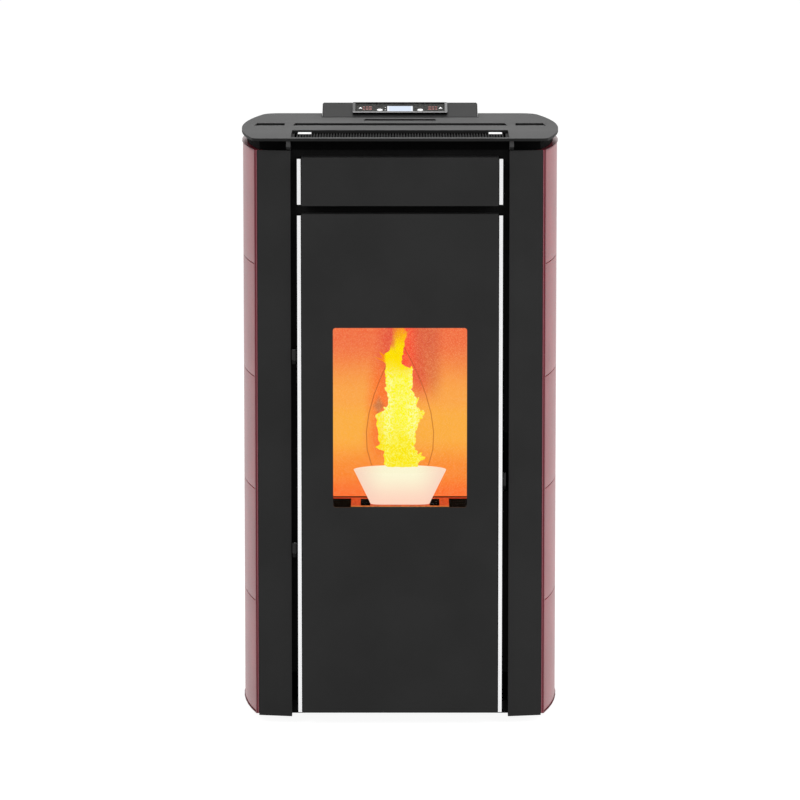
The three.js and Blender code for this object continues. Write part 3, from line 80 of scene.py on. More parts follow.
class Wire:
    """One output of a material's nodes, so that shader maths reads as Python."""

    def __init__(self, finish, socket):
        self.finish = finish
        self.socket = socket

    def maths(self, operation, *values):
        inputs = dict(enumerate(values))
        return self.finish.node("ShaderNodeMath", {"operation": operation}, inputs)

    def __add__(self, other):
        return self.maths("ADD", self, other)

    def __radd__(self, other):
        return self.maths("ADD", other, self)

    def __sub__(self, other):
        return self.maths("SUBTRACT", self, other)

    def __rsub__(self, other):
        return self.maths("SUBTRACT", other, self)

    def __mul__(self, other):
        return self.maths("MULTIPLY", self, other)

    def __rmul__(self, other):
        return self.maths("MULTIPLY", other, self)

    def __truediv__(self, other):
        return self.maths("DIVIDE", self, other)

    def size(self):
        return self.maths("ABSOLUTE", self)

    def at_least(self, other):
        return self.maths("MAXIMUM", self, other)

    def rises(self, low, high):
        """0 below low, 1 above high, and a smooth step between them."""
        settings = {"interpolation_type": "SMOOTHSTEP"}
        inputs = {"Value": self, "From Min": low, "From Max": high}
        return self.finish.node("ShaderNodeMapRange", settings, inputs)


class Finish:
    """A material made of nodes round one Principled shader."""

    def __init__(self, name, constants=None):
        self.material = bpy.data.materials.new(name)
        self.material.use_nodes = True
        self.tree = self.material.node_tree
        self.shader = self.tree.nodes["Principled BSDF"]
        self.feed(self.shader, constants or {})

    def feed(self, target, values):
        plain = {name: getattr(value, "socket", value) for name, value in values.items()}
        feed(self.tree, target, plain)

    def node(self, kind, settings=None, inputs=None, output=0):
        made = add_node(self.tree, kind, settings)
        self.feed(made, inputs or {})
        return Wire(self, made.outputs[output])

    def place(self):
        """Where a point lies in the stove's own frame, in metres."""
        return self.node("ShaderNodeTexCoord", output="Object")

    def along(self, axis):
        inputs = {"Vector": self.place()}
        return self.node("ShaderNodeSeparateXYZ", None, inputs, output=axis)

    def facing(self, axis):
        """How far the surface faces along an axis, from -1 to 1."""
        inputs = {"Vector": self.node("ShaderNodeTexCoord", output="Normal")}
        return self.node("ShaderNodeSeparateXYZ", None, inputs, output=axis)

    def grain(self, scale, detail=2.0, stretch=(1, 1, 1), swirl=0.0):
        """Even noise; stretch above 1 packs it closer along that axis, and swirl curls it."""
        settings = {"operation": "MULTIPLY"}
        packed = self.node("ShaderNodeVectorMath", settings, {0: self.place(), 1: stretch})
        inputs = {"Vector": packed, "Scale": scale, "Detail": detail, "Distortion": swirl}
        return self.node("ShaderNodeTexNoise", None, inputs)

    def mix(self, factor, first, second):
        settings = {"data_type": "RGBA"}
        return self.node("ShaderNodeMix", settings, {0: factor, 6: first, 7: second}, output=2)

    def relief(self, height, depth, strength=1.0):
        inputs = {"Height": height, "Distance": depth, "Strength": strength}
        return self.node("ShaderNodeBump", None, inputs)

    def surface(self, values):
        self.feed(self.shader, values)
        return self

    def cover(self, *names):
        """Gives this finish to the named solids."""
        for name in names:
            mesh = nodes[name].data
            if not mesh.materials:
                mesh.materials.append(self.material)
            for index in range(len(mesh.materials)):
                mesh.materials[index] = self.material
        return self


def powder_coat(name, dark, light, roughness, depth, level):
    """Baked powder: a fine orange peel, with a slight cloud in its shade and gloss."""
    coat = Finish(name, {"Specular IOR Level": level})
    cloud = coat.grain(9.0, 3.0)
    peel = coat.grain(1500.0, 1.0)
    return coat.surface(
        {
            "Base Color": coat.mix(cloud.rises(0.3, 0.7), dark, light),
            "Roughness": roughness + 0.1 * (cloud - 0.5) + 0.06 * (peel - 0.5),
            "Normal": coat.relief(peel, depth, 0.5),
        }
    )


black_coat = powder_coat(
    "black_powder_coat", linear(34, 34, 34), linear(38, 38, 38), 0.42, 0.00006, 0.12
)
black_coat.cover("base_pan")

foot_rubber = Finish("foot_rubber", {"Specular IOR Level": 0.3})
foot_speckle = foot_rubber.grain(900.0, 2.0)
foot_height = foot_rubber.along("Z")
foot_steel = foot_height.rises(0.0079, 0.0082)
foot_rubber.surface(
    {
        "Base Color": foot_rubber.mix(foot_steel, linear(30, 30, 31), linear(150, 152, 154)),
        "Roughness": 0.85 - 0.5 * foot_steel + 0.1 * (foot_speckle - 0.5),
        "Metallic": foot_steel,
        "Normal": foot_rubber.relief(foot_speckle, 0.0001, 0.4),
    }
)
feet = [f"levelling_foot_{end}_{side}" for end in ("front", "rear") for side in ("left", "right")]
foot_rubber.cover(*feet)


# Side carriers
# Each is a steel channel, folded and welded, in satin wine-red paint. Its lips hold the tiles
# by their front and rear edges and show as a thin red line beside the pillar.

carrier_paint = Finish("wine_red_paint", {"Specular IOR Level": 0.35})
carrier_cloud = carrier_paint.grain(12.0, 2.0)
carrier_peel = carrier_paint.grain(1300.0, 1.0)
carrier_paint.surface(
    {
        "Base Color": carrier_paint.mix(carrier_cloud, linear(92, 12, 28), linear(106, 16, 34)),
        "Roughness": 0.36 + 0.08 * (carrier_cloud - 0.5),
        "Normal": carrier_paint.relief(carrier_peel, 0.00005, 0.4),
    }
)
carrier_paint.cover("side_carrier_left", "side_carrier_right")


# Side tiles
# Glazed stoneware slabs, bent to the curve of the flank, five to a side. The wine-red glaze is
# glossy and rounds over every edge, and the tiles stand in the carrier with thin open joints.

MM = 0.001
plan_half_width = 250.0
plan_widest = 175.0
plan_front_radius = 666.0
plan_rear_radius = 432.0
plan_shift = -180.0
tile_face = 1.35
tile_thickness = 9.8
tile_front = 1.4
tile_rear = 348.1
tile_round = 3.2
tile_end_round = 1.0


def flank(y, inset):
    """Half width of the body's plan at depth y, both in millimetres, drawn in by inset."""
    radius = plan_front_radius if y < plan_widest else plan_rear_radius
    return plan_half_width - radius + math.sqrt((radius - inset) ** 2 - (y - plan_widest) ** 2)


def eased_steps(start, end, edge, count):
    """Positions from start to end, close together within edge of both ends."""
    fine = [edge * (1 - math.cos(math.pi / 2 * i / 5)) for i in range(6)]
    inner = [start + edge + (end - start - 2 * edge) * i / count for i in range(1, count)]
    return [start + step for step in fine] + inner + [end - step for step in reversed(fine)]


def add_piece(name, points, faces, finish, body, stands_for=(), sharp=40):
    mesh = bpy.data.meshes.new(name)
    mesh.from_pydata([Vector(point) * MM for point in points], [], faces)
    mesh.validate()
    mesh.materials.append(finish.material)
    mesh.shade_smooth()
    mesh.set_sharp_from_angle(angle=math.radians(sharp))
    piece = bpy.data.objects.new(name, mesh)
    bpy.context.scene.collection.objects.link(piece)
    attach(piece, body)
    if stands_for:
        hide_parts(*stands_for)
    return piece


def grid_faces(columns, rows, start=0, flip=False):
    faces = []
    for column in range(columns - 1):
        for row in range(rows - 1):
            corner = start + column * rows + row
            face = (corner, corner + rows, corner + rows + 1, corner + 1)
            faces.append(face[::-1] if flip else face)
    return faces


def rounded_drop(distance, radius):
    """How far a face falls back at this distance from its rounded edge."""
    inward = max(0.0, radius - distance)
    return radius - math.sqrt(max(0.0, radius * radius - inward * inward))


glaze = Finish("wine_red_glaze", {"Specular IOR Level": 0.2, "Coat Roughness": 0.1})
glaze_cloud = glaze.grain(14.0, 3.0)
glaze_fleck = glaze.grain(420.0, 2.0)
glaze_flow = glaze.grain(26.0, 1.0, (1, 1, 0.35))
glaze.surface(
    {
        "Base Color": glaze.mix(
            glaze_cloud.rises(0.25, 0.75), linear(128, 12, 32), linear(144, 20, 42)
        ),
        "Roughness": 0.3 + 0.12 * glaze_fleck.rises(0.55, 0.8),
        "Coat Weight": 0.06 + 0.04 * (glaze_cloud - 0.5),
        "Normal": glaze.relief(glaze_flow + 0.02 * glaze_fleck, 0.0006, 0.35),
    }
)

for side_name, side in (("left", -1), ("right", 1)):
    for row in range(1, 6):
        solid_name = f"side_tile_{side_name}_{row}"
        low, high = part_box(solid_name)
        bottom, top = low.z / MM + 0.1, high.z / MM - 0.1
        depths = eased_steps(tile_front, tile_rear, tile_round, 34)
        heights = eased_steps(bottom, top, tile_end_round, 8)
        points = []
        for y in depths:
            for z in heights:
                to_side = min(y - tile_front, tile_rear - y)
                to_end = min(z - bottom, top - z)
                drop = rounded_drop(to_side, tile_round) + rounded_drop(to_end, tile_end_round)
                points.append((side * flank(y, tile_face + drop), y + plan_shift, z))
        back = len(points)
        for y in depths:
            for z in heights:
                x = side * flank(y, tile_face + tile_thickness)
                points.append((x, y + plan_shift, z))
        columns, rows = len(depths), len(heights)
        outward = side > 0
        faces = grid_faces(columns, rows, 0, not outward)
        faces += grid_faces(columns, rows, back, outward)
        rim = [column * rows for column in range(columns)]
        rim += [(columns - 1) * rows + r for r in range(1, rows)]
        rim += [column * rows + rows - 1 for column in reversed(range(columns - 1))]
        rim += list(reversed(range(1, rows - 1)))
        for here, there in zip(rim, rim[1:] + rim[:1]):
            face = (here, here + back, there + back, there)
            faces.append(face if outward else face[::-1])
        add_piece(
            f"glazed_tile_{side_name}_{row}",
            points,
            faces,
            glaze,
            "stove",
            (solid_name,),
            60,
        )


# The carrier's front lip is folded over into a narrow round bead along its inner half.
# Its paint is pale mauve rather than wine red: a painted highlight.

bead_highlight_paint = Finish("pale_bead_painted_highlight", {"Specular IOR Level": 0.6})
bead_peel = bead_highlight_paint.grain(900.0, 1.0)
bead_highlight_paint.surface(
    {
        # Painted highlight: the bead's colour is far paler than the carrier's wine red.
        "Base Color": bead_highlight_paint.mix(bead_peel, linear(134, 66, 76), linear(142, 74, 84)),
        "Roughness": 0.3 + 0.1 * (bead_peel - 0.5),
    }
)
bead_middle = 223.2
bead_half_width = 1.0
bead_reach = 0.9
bead_gap = 0.05
bead_ends = (14.7, 907.5)
bead_steps = 8
for side_name, side in (("left", -1), ("right", 1)):
    points = []
    for z in bead_ends:
        for step in range(bead_steps + 1):
            angle = math.pi * step / bead_steps
            x = side * (bead_middle + bead_half_width * math.cos(angle))
            points.append((x, plan_shift - bead_gap - bead_reach * math.sin(angle), z))
    count = bead_steps + 1
    faces = [(i, i + 1, i + 1 + count, i + count) for i in range(bead_steps)]
    faces.append((count - 1, 0, count, 2 * count - 1))
    faces += [tuple(reversed(range(count))), tuple(range(count, 2 * count))]
    if side > 0:
        faces = [face[::-1] for face in faces]
    add_piece(f"lip_bead_{side_name}", points, faces, bead_highlight_paint, "stove")


# Front pillars and front frame
# Angled covers of 2 mm sheet in the black powder coat stand beside the door. A plate behind
# them, in a duller and darker black that is painted shade, carries the door and frames the fire.

black_coat.cover("front_pillar_left", "front_pillar_right")
# Painted shade: the frame's coat is darker than the pillars' for the shade it lies in.
frame_painted_shade = powder_coat(
    "frame_black_painted_shade", linear(20, 20, 20), linear(26, 26, 26), 0.7, 0.00006, 0.05
)
frame_painted_shade.cover("front_frame")


# Firebox and its lining
# The chamber is welded plate in heat-resisting black. The lining behind the fire is a pressed
# plate; the orange firelight on it is painted light, darker and redder round the flame's top.

chamber_black = Finish("chamber_black", {"Specular IOR Level": 0.0})
chamber_soot = chamber_black.grain(60.0, 4.0)
chamber_black.surface(
    {
        "Base Color": chamber_black.mix(chamber_soot, linear(11, 12, 14), linear(20, 21, 24)),
        "Roughness": 0.75 + 0.15 * (chamber_soot - 0.5),
        "Normal": chamber_black.relief(chamber_black.grain(700.0, 2.0), 0.0002, 0.5),
    }
)
chamber_black.cover("firebox", "door_back_plate")

lining = Finish("lining_painted_firelight", {"Specular IOR Level": 0.05, "Emission Strength": 1.05})
across = lining.along("X")
height = lining.along("Z")
depth = lining.along("Y")
fleck = lining.grain(520.0, 3.0)
waver = lining.grain(16.0, 3.0)
# The lining's emission is painted firelight, in bands up the plate.
shaken = height + 0.012 * (waver - 0.5)
warm = lining.mix(shaken.rises(0.33, 0.375), linear(252, 106, 42), linear(251, 136, 46))
warm = lining.mix(shaken.rises(0.372, 0.43), warm, linear(251, 172, 62))
warm = lining.mix(shaken.rises(0.455, 0.49), warm, linear(251, 164, 70))
warm = lining.mix(shaken.rises(0.49, 0.585), warm, linear(241, 107, 65))
# The painted firelight turns red close round the flame: on its left all the way up, on its
# right near its top.
flame_half = 0.034 - 0.19 * (height - 0.49).at_least(0.0)
beside = across.size() - flame_half + 0.014 * (waver - 0.5)
near = 1.0 - beside.rises(0.0, 0.03)
on_left = 1.0 - across.rises(-0.004, 0.004)
left_red = lining.mix(height.rises(0.50, 0.59), linear(250, 112, 42), linear(228, 78, 60))
warm = lining.mix(near * on_left * height.rises(0.37, 0.42) * 0.95, warm, left_red)
on_right = (1.0 - on_left) * height.rises(0.475, 0.53)
warm = lining.mix(near * on_right * 0.95, warm, linear(252, 72, 50))
# The painted firelight is dimmer and redder right of the flame's top.
dimmer_red_right = (1.0 - (across - 0.042).size().rises(0.008, 0.034)) * height.rises(0.47, 0.53)
warm = lining.mix(dimmer_red_right * 0.6, warm, linear(208, 84, 62))
# A dim brownish patch in the painted firelight, left of the flame.
patch = (1.0 - ((across + 0.034).size() * 1.6 + (height - 0.477).size()).rises(0.004, 0.022))
warm = lining.mix(patch * (0.3 + 0.5 * waver), warm, linear(150, 112, 80))
warm = lining.mix(0.2 * fleck.rises(0.35, 0.7), warm, linear(255, 196, 128))
# Painted shade: the groove's floor gets a dimmer, browner emission.
groove_painted_shade = depth.rises(0.0053, 0.0057)
warm = lining.mix(groove_painted_shade * 0.6, warm, linear(176, 78, 34))
# The front of the lip along its foot is painted dark as shadow, but for its lower edge, which
# gets painted firelight.
lip = (1.0 - height.rises(0.3305, 0.3312)) * (1.0 - lining.facing("Y").rises(-0.9, -0.5))
warm = lining.mix(lip, warm, linear(10, 6, 5))
warm = lining.mix(lip * (1.0 - height.rises(0.3286, 0.329)), warm, linear(214, 66, 30))
lining.surface(
    {
        "Base Color": lining.mix(fleck, linear(40, 26, 18), linear(52, 36, 26)),
        "Roughness": 0.85 + 0.1 * (fleck - 0.5),
        "Emission Color": warm,
        "Normal": lining.relief(fleck, 0.0004, 0.6),
    }
)
lining.cover("firebox_back_liner")


# Burn-pot holder
# A pressed steel tray on the hearth with windows for the ash; orange firelight is painted on
# its upper edges as emission.

holder_steel = Finish("firelit_steel", {"Emission Strength": 1.0, "Specular IOR Level": 0.1})
holder_scale = holder_steel.grain(260.0, 4.0)
# Painted firelight: only the upper faces get the orange emission, brightest on the front bar.
holder_top = holder_steel.facing("Z").rises(0.5, 0.9)
holder_top = holder_top * holder_steel.along("Z").rises(0.3345, 0.3355)
holder_bar = 1.0 - holder_steel.along("Y").rises(-0.119, -0.117)
holder_painted_firelight = holder_steel.mix(holder_bar, linear(222, 78, 34), linear(226, 128, 60))
holder_dark = holder_scale.rises(0.45, 0.6) * 0.5
holder_painted_firelight = holder_steel.mix(holder_dark, holder_painted_firelight, linear(130, 34, 16))
holder_steel.surface(
    {
        "Base Color": holder_steel.mix(holder_scale, linear(12, 9, 8), linear(26, 20, 17)),
        "Metallic": 0.2 + 0.2 * (holder_scale - 0.5),
        "Roughness": 0.7 + 0.2 * (holder_scale - 0.5),
        "Emission Color": holder_steel.mix(holder_top, linear(9, 6, 5), holder_painted_firelight),
    }
)
holder_steel.cover("burn_pot_holder")


# Burn pot
# A bowl of cast refractory, oval at its rim and nearly square at its foot, with air holes
# in its floor; its pale look is firelight painted on as emission. It drops into the holder and
# lifts straight out to be emptied.

pot_foot = (47.0, 25.0)
pot_rim = (73.5, 42.0)
pot_wall = 4.0
pot_height = 52.5
pot_low, pot_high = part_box("burn_pot")
pot_centre = (pot_low.y + pot_high.y) / 2 / MM
pot_bottom = pot_low.z / MM
pot_sides = 72


def pot_ring(share, inset, z):
    half_x = pot_foot[0] + (pot_rim[0] - pot_foot[0]) * share - inset
    half_y = pot_foot[1] + (pot_rim[1] - pot_foot[1]) * share - inset
    blunt = 0.35 + 0.65 * share
    ring = []
    for i in range(pot_sides):
        angle = 2 * math.pi * i / pot_sides
        c, s = math.cos(angle), math.sin(angle)
        x = half_x * math.copysign(abs(c) ** blunt, c)
        y = half_y * math.copysign(abs(s) ** blunt, s)
        ring.append((x, pot_centre + y, pot_bottom + z))
    return ring


def band_faces(rings, count):
    faces = []
    for ring in range(rings - 1):
        for i in range(count):
            here, following = ring * count + i, ring * count + (i + 1) % count
            faces.append((here, following, following + count, here + count))
    return faces


def fire_glow_and_painted_light(finish, top):
    """Embers' glow and firelight painted on the clay: pale yellow in the middle, pink at the ends.
    """
    level = finish.along("Z")
    glow = finish.mix(level.rises(0.336, 0.392), linear(255, 214, 192), top)
    ends = (finish.along("X").size() / 0.074).rises(0.25, 1.0)
    return finish.mix(ends * 0.75, glow, linear(252, 208, 190))


# The pot is no lamp: its emission is painted firelight.
pot_clay = Finish("fired_clay", {"Emission Strength": 1.03, "Specular IOR Level": 0.1})
pot_speckle = pot_clay.grain(900.0, 3.0)
pot_painted_firelight = fire_glow_and_painted_light(pot_clay, linear(253, 250, 216))
pot_clay.surface(
    {
        "Base Color": pot_clay.mix(pot_speckle, linear(58, 50, 44), linear(74, 66, 58)),
        "Roughness": 0.8 + 0.1 * (pot_speckle - 0.5),
        "Emission Color": pot_clay.mix(0.08 * pot_speckle, pot_painted_firelight, linear(236, 190, 170)),
        "Normal": pot_clay.relief(pot_speckle, 0.0002, 0.4),
    }
)

pot_levels = [
    (0.0, 1.5, 0.4),
    (0.01, 0.3, 0.0),
    (0.03, 0.0, 1.2),
    *[(share / 12, 0.0, pot_height * share / 12) for share in range(1, 12)],
    (0.985, 0.0, pot_height - 1.0),
    (1.0, 0.5, pot_height - 0.2),
    (1.0, 1.4, pot_height),
    (1.0, 2.6, pot_height),
    (1.0, 3.5, pot_height - 0.2),
    (0.98, 4.0, pot_height - 1.2),
    *[(share / 12, pot_wall, pot_height * share / 12) for share in range(11, 1, -1)],
    (0.08, pot_wall + 3.0, pot_wall + 0.4),
    (0.08, pot_wall + 10.0, pot_wall),
]
pot_points = [point for level in pot_levels for point in pot_ring(*level)]
pot_faces = band_faces(len(pot_levels), pot_sides)
pot_faces.append(tuple(reversed(range(pot_sides))))
last_ring = (len(pot_levels) - 1) * pot_sides
pot_faces.append(tuple(range(last_ring, last_ring + pot_sides)))
add_piece(
    "refractory_bowl", pot_points, pot_faces, pot_clay, "pot", ("burn_pot",), 50
)


# Fire
# Burning pellets fill the bowl to its rim, and the flame stands on their far side: yellow and
# ragged, with an orange wisp at its top that leans in the draught.

ember = Finish("burning_pellets", {"Emission Strength": 1.03, "Specular IOR Level": 0.0})
ember_crust = ember.grain(420.0, 3.0)
ember_glow = fire_glow_and_painted_light(ember, linear(253, 249, 214))
# Ash dims the embers in patches, and their sides are dimmed more: that dimming is painted shade.
ember_side_painted_shade = 1.0 - ember.facing("Z").rises(0.2, 0.9)
ember_ash_and_side_shade = ember_crust.rises(0.5, 0.75) * (0.10 + 0.2 * ember_side_painted_shade)
ember.surface(
    {
        "Base Color": ember.mix(ember_crust, linear(30, 22, 16), linear(46, 34, 26)),
        "Roughness": 0.9 + 0.1 * (ember_crust - 0.5),
        "Emission Color": ember.mix(ember_ash_and_side_shade, ember_glow, linear(240, 176, 128)),
        "Normal": ember.relief(ember_crust, 0.0003, 0.5),
    }
)

chance = random.Random(11)
bed_rim = pot_rim[0] - pot_wall - 0.4, pot_rim[1] - pot_wall - 0.4
bed_levels = [(0.86, -8.0), (0.97, -3.0), (1.0, -1.6), (0.9, -0.9), (0.6, -0.5), (0.3, -0.3)]
bed_sides = 72
bed_points = []
for share, rise in bed_levels:
    for i in range(bed_sides):
        angle = 2 * math.pi * i / bed_sides
        x = bed_rim[0] * share * math.cos(angle)
        y = pot_centre + bed_rim[1] * share * math.sin(angle)
        lump = 0.5 * noise.noise(Vector((x, y, 0)) * 0.16)
        bed_points.append((x, y, pot_bottom + pot_height + rise + lump))
bed_faces = band_faces(len(bed_levels), bed_sides)
bed_faces.append(tuple(reversed(range(bed_sides))))
bed_top = (len(bed_levels) - 1) * bed_sides
bed_faces.append(tuple(range(bed_top, bed_top + bed_sides)))

pellet_count = 70
pellet_radius = 2.9
pellet_sides = 10
pellet_round = 0.7
for _ in range(pellet_count):
    turn = chance.uniform(0, 2 * math.pi)
    share = 0.88 * math.sqrt(chance.random())
    centre = Vector(
        (
            bed_rim[0] * share * math.cos(turn),
            pot_centre + bed_rim[1] * share * math.sin(turn),
            pot_bottom + pot_height - chance.uniform(2.4, 3.6),
        )
    )
    lean = chance.uniform(-0.25, 0.25)
    heading = chance.uniform(0, math.pi)
    axis = Vector((math.cos(heading), math.sin(heading), lean)).normalized()
    side_way = axis.cross(Vector((0, 0, 1))).normalized()
    up_way = side_way.cross(axis)
    half_length = chance.uniform(4.0, 7.0)
    start = len(bed_points)
    ends = [
        (-half_length, 0.7),
        (pellet_round - half_length, 1.0),
        (half_length - pellet_round, 1.0),
        (half_length, 0.7),
    ]
    for along, share in ends:
        for i in range(pellet_sides):
            angle = 2 * math.pi * i / pellet_sides
            reach = pellet_radius * share
            offset = side_way * (reach * math.cos(angle)) + up_way * (reach * math.sin(angle))
            bed_points.append(tuple(centre + axis * along + offset))
    bed_faces += [
        tuple(start + corner for corner in face) for face in band_faces(len(ends), pellet_sides)
    ]
    last = start + 3 * pellet_sides
    bed_faces.append(tuple(reversed(range(start, start + pellet_sides))))
    bed_faces.append(tuple(range(last, last + pellet_sides)))
add_piece("burning_pellets", bed_points, bed_faces, ember, "pot", (), 50)

flame_outline = [
    (383, -20, 20),
    (391, -24, 28),
    (396, -25, 31),
    (400, -25, 39),
    (404, -25, 36),
    (408, -26, 27),
    (413, -27, 24),
    (417, -36, 23),
    (420, -38, 23),
    (424, -33, 23),
    (434, -34, 24),
    (454, -37, 28),
    (463, -37, 31),
    (468, -37, 38),
    (472, -36, 38),
    (479, -25, 32),
    (486, -19, 27),
    (496, -18, 27),
    (504, -20, 22),
    (512, -23, 20),
    (538, -23, 19),
    (545, -23, 19),
    (549, -22, 8),
    (553, -22, 3),
    (558, -24, 2),
    (563, -28, 3),
    (568, -25, 4),
    (575, -17, 5),
    (590, -13, 8),
    (602, -12, 11),
    (610, -12, 7),
    (622, -9, 6),
    (635, -3, 4),
]
flame_sides = 64
flame_step = 1.6
flame_row = 126.0 + plan_shift
flame_half_depth = 8.0


def between(table, z):
    """The outline's left and right edge at height z, eased between its rows."""
    for low_row, high_row in zip(table, table[1:]):
        if z <= high_row[0]:
            t = (z - low_row[0]) / (high_row[0] - low_row[0])
            t = t * t * (3 - 2 * t)
            return tuple(a + (b - a) * t for a, b in zip(low_row[1:], high_row[1:]))
    return table[-1][1:]


def ragged_edge(side, z):
    """How far the flame's edge wanders at height z, in millimetres."""
    sample = Vector((side * 31.7, 0.0, z * 0.12))
    wander = 2.4 * noise.noise(sample) + 1.9 * noise.noise(sample * 2.3)
    return wander + 1.5 * noise.noise(sample * 4.9)


flame_points = []
flame_low, flame_high = flame_outline[0][0], flame_outline[-1][0]
flame_rings = int((flame_high - flame_low) / flame_step) + 1
for ring in range(flame_rings):
    z = flame_low + (flame_high - flame_low) * ring / (flame_rings - 1)
    left, right = between(flame_outline, z)
    calm = min(1.0, (right - left) / 30)
    left -= ragged_edge(-1, z) * calm
    right += ragged_edge(1, z) * calm
    middle, half = (left + right) / 2, max(1.0, (right - left) / 2)
    for i in range(flame_sides):
        angle = 2 * math.pi * i / flame_sides
        c, s = math.cos(angle), math.sin(angle)
        sample = Vector((c * 2.4, s * 2.4, z * 0.07))
        ruffle = 1.2 * noise.noise(sample * 1.7) + 0.7 * noise.noise(sample * 4.1)
        deep = flame_half_depth * min(1.0, half / 14) + ruffle
        flame_points.append((middle + half * c, flame_row + deep * s, z + ruffle))
flame_faces = band_faces(flame_rings, flame_sides)
flame_faces.append(tuple(reversed(range(flame_sides))))
flame_top = (flame_rings - 1) * flame_sides
flame_faces.append(tuple(range(flame_top, flame_top + flame_sides)))

# Tongues and small round lobes break away from its edges.
tongue_sides = 12
tongue_rings = 14
tongues = [
    (-1, 553, 12.0, 20.0, 3.4),
    (-1, 557, 16.0, 9.0, 2.6),
    (1, 530, 20.0, -1.0, 2.6),
    (1, 534, 14.0, -8.0, 2.4),
    (1, 596, 12.0, 6.0, 3.0),
    (1, 486, 14.0, 3.0, 1.6),
]
lobe_count = 14
for _ in range(lobe_count):
    tongues.append(
        (
            chance.choice((-1, 1)),
            chance.uniform(388, 540),
            chance.uniform(4.0, 7.0),
            chance.uniform(-0.5, 1.5),
            chance.uniform(2.2, 3.2),
        )
    )
for side, base, length, lean, width in tongues:
    edge = between(flame_outline, base)[0 if side < 0 else 1]
    root = edge - side * 3.0
    curl = chance.uniform(-0.4, 0.6)
    start = len(flame_points)
    for ring in range(tongue_rings):
        share = ring / (tongue_rings - 1)
        middle = root + side * (3.0 * share + lean * share ** (1.5 + curl))
        reach = width * math.sqrt(max(0.0, 1 - share ** 2.2)) + 0.1
        for i in range(tongue_sides):
            angle = 2 * math.pi * i / tongue_sides
            flame_points.append(
                (
                    middle + reach * math.cos(angle),
                    flame_row + reach * math.sin(angle),
                    base + length * share,
                )
            )
    flame_faces += [
        tuple(start + corner for corner in face)
        for face in band_faces(tongue_rings, tongue_sides)
    ]
    last = start + (tongue_rings - 1) * tongue_sides
    flame_faces.append(tuple(reversed(range(start, start + tongue_sides))))
    flame_faces.append(tuple(range(last, last + tongue_sides)))

flame = Finish("flame", {"Emission Strength": 1.05, "Specular IOR Level": 0.0, "Roughness": 1.0})
flame_height = flame.along("Z")
flame_across = flame.along("X")
lick = flame.grain(52.0, 4.0, (1.3, 0.4, 0.5))
vein = flame.grain(210.0, 3.0, (1.0, 0.5, 0.8), 2.4)
licked = flame_height + 0.03 * (lick - 0.5)
from_middle = (flame_across - 0.001).size() + 0.016 * (lick - 0.5)
pale = 0.55 + 0.45 * from_middle.rises(0.004, 0.02)
flame_colour = flame.mix(
    vein.rises(0.44, 0.6) * pale, linear(254, 246, 10), linear(254, 253, 172)
)
low = flame.mix(vein.rises(0.46, 0.62) * pale, linear(252, 232, 8), linear(252, 248, 120))
flame_colour = flame.mix(licked.rises(0.415, 0.47), low, flame_colour)
flame_colour = flame.mix(from_middle.rises(0.023, 0.034) * 0.6, flame_colour, linear(254, 226, 20))
flame_colour = flame.mix(licked.rises(0.525, 0.56), flame_colour, linear(254, 224, 4))
streaks = vein.rises(0.5, 0.7) * licked.rises(0.54, 0.57) * 0.5
flame_colour = flame.mix(streaks, flame_colour, linear(253, 196, 6))
flame_colour = flame.mix(licked.rises(0.576, 0.622), flame_colour, linear(250, 138, 26))
wisp = (1.0 - flame_across.rises(-0.027, -0.021)) * licked.rises(0.54, 0.556)
flame_colour = flame.mix(wisp, flame_colour, linear(252, 138, 22))
wisp_end = (1.0 - flame_across.rises(-0.044, -0.026)) * flame_height.rises(0.54, 0.55)
tip_edge = (flame_across - 0.0005 + 0.05 * (flame_height - 0.6)).size() + 0.01 * (vein - 0.5)
tip_fade = tip_edge.rises(0.003, 0.013) * flame_height.rises(0.568, 0.585)
flame.surface(
    {
        "Base Color": flame.mix(lick, linear(4, 3, 1), linear(8, 5, 2)),
        "Emission Color": flame_colour,
        "Alpha": (1.0 - 0.75 * (flame_height + 0.05 * (vein - 0.5)).rises(0.57, 0.632))
        * (1.0 - 0.8 * wisp_end)
        * (1.0 - 0.85 * tip_fade),
    }
)
add_piece("flame", flame_points, flame_faces, flame, "pot", (), 180)


# Ash drawer
# A folded tray of zinc-plated sheet that stands in the ash compartment under the hearth.

zinc = Finish("zinc_plate", {"Metallic": 1.0})
spangle_inputs = {"Vector": zinc.place(), "Scale": 90.0, "Randomness": 1.0}
spangle = zinc.node("ShaderNodeTexVoronoi", None, spangle_inputs, output="Distance")
zinc_streak = zinc.grain(40.0, 3.0)
zinc.surface(
    {
        "Base Color": zinc.mix(spangle * 0.9, linear(176, 178, 180), linear(204, 206, 208)),
        "Roughness": 0.38 + 0.16 * spangle + 0.1 * (zinc_streak - 0.5),
        "Normal": zinc.relief(zinc_streak, 0.0001, 0.3),
    }
)
zinc.cover("ash_drawer")


# Hopper, auger and chute
# The hopper is folded zinc-plated sheet that narrows to the auger. The auger's tube, inlet box
# and chute are welded plain steel, and a gear motor in black turns the screw from below.

zinc.cover("hopper")

plain_steel = Finish("plain_steel", {"Metallic": 1.0})
steel_brush = plain_steel.grain(300.0, 3.0, (1.0, 1.0, 0.06))
steel_cloud = plain_steel.grain(18.0, 3.0)
plain_steel.surface(
    {
        "Base Color": plain_steel.mix(steel_cloud, linear(140, 141, 143), linear(172, 172, 173)),
        "Roughness": 0.34 + 0.18 * (steel_brush - 0.5) + 0.1 * (steel_cloud - 0.5),
        "Normal": plain_steel.relief(steel_brush, 0.00005, 0.4),
    }
)
plain_steel.cover("auger_tube", "auger_screw")
black_coat.cover("auger_motor")


# Flue fan, flue collar, air pipe and igniter
# The fan's casing, duct and collar are welded plain steel, with a plated wheel inside. The pipe
# beside it brings in the air for the fire, and the igniter is a steel rod in a flange.

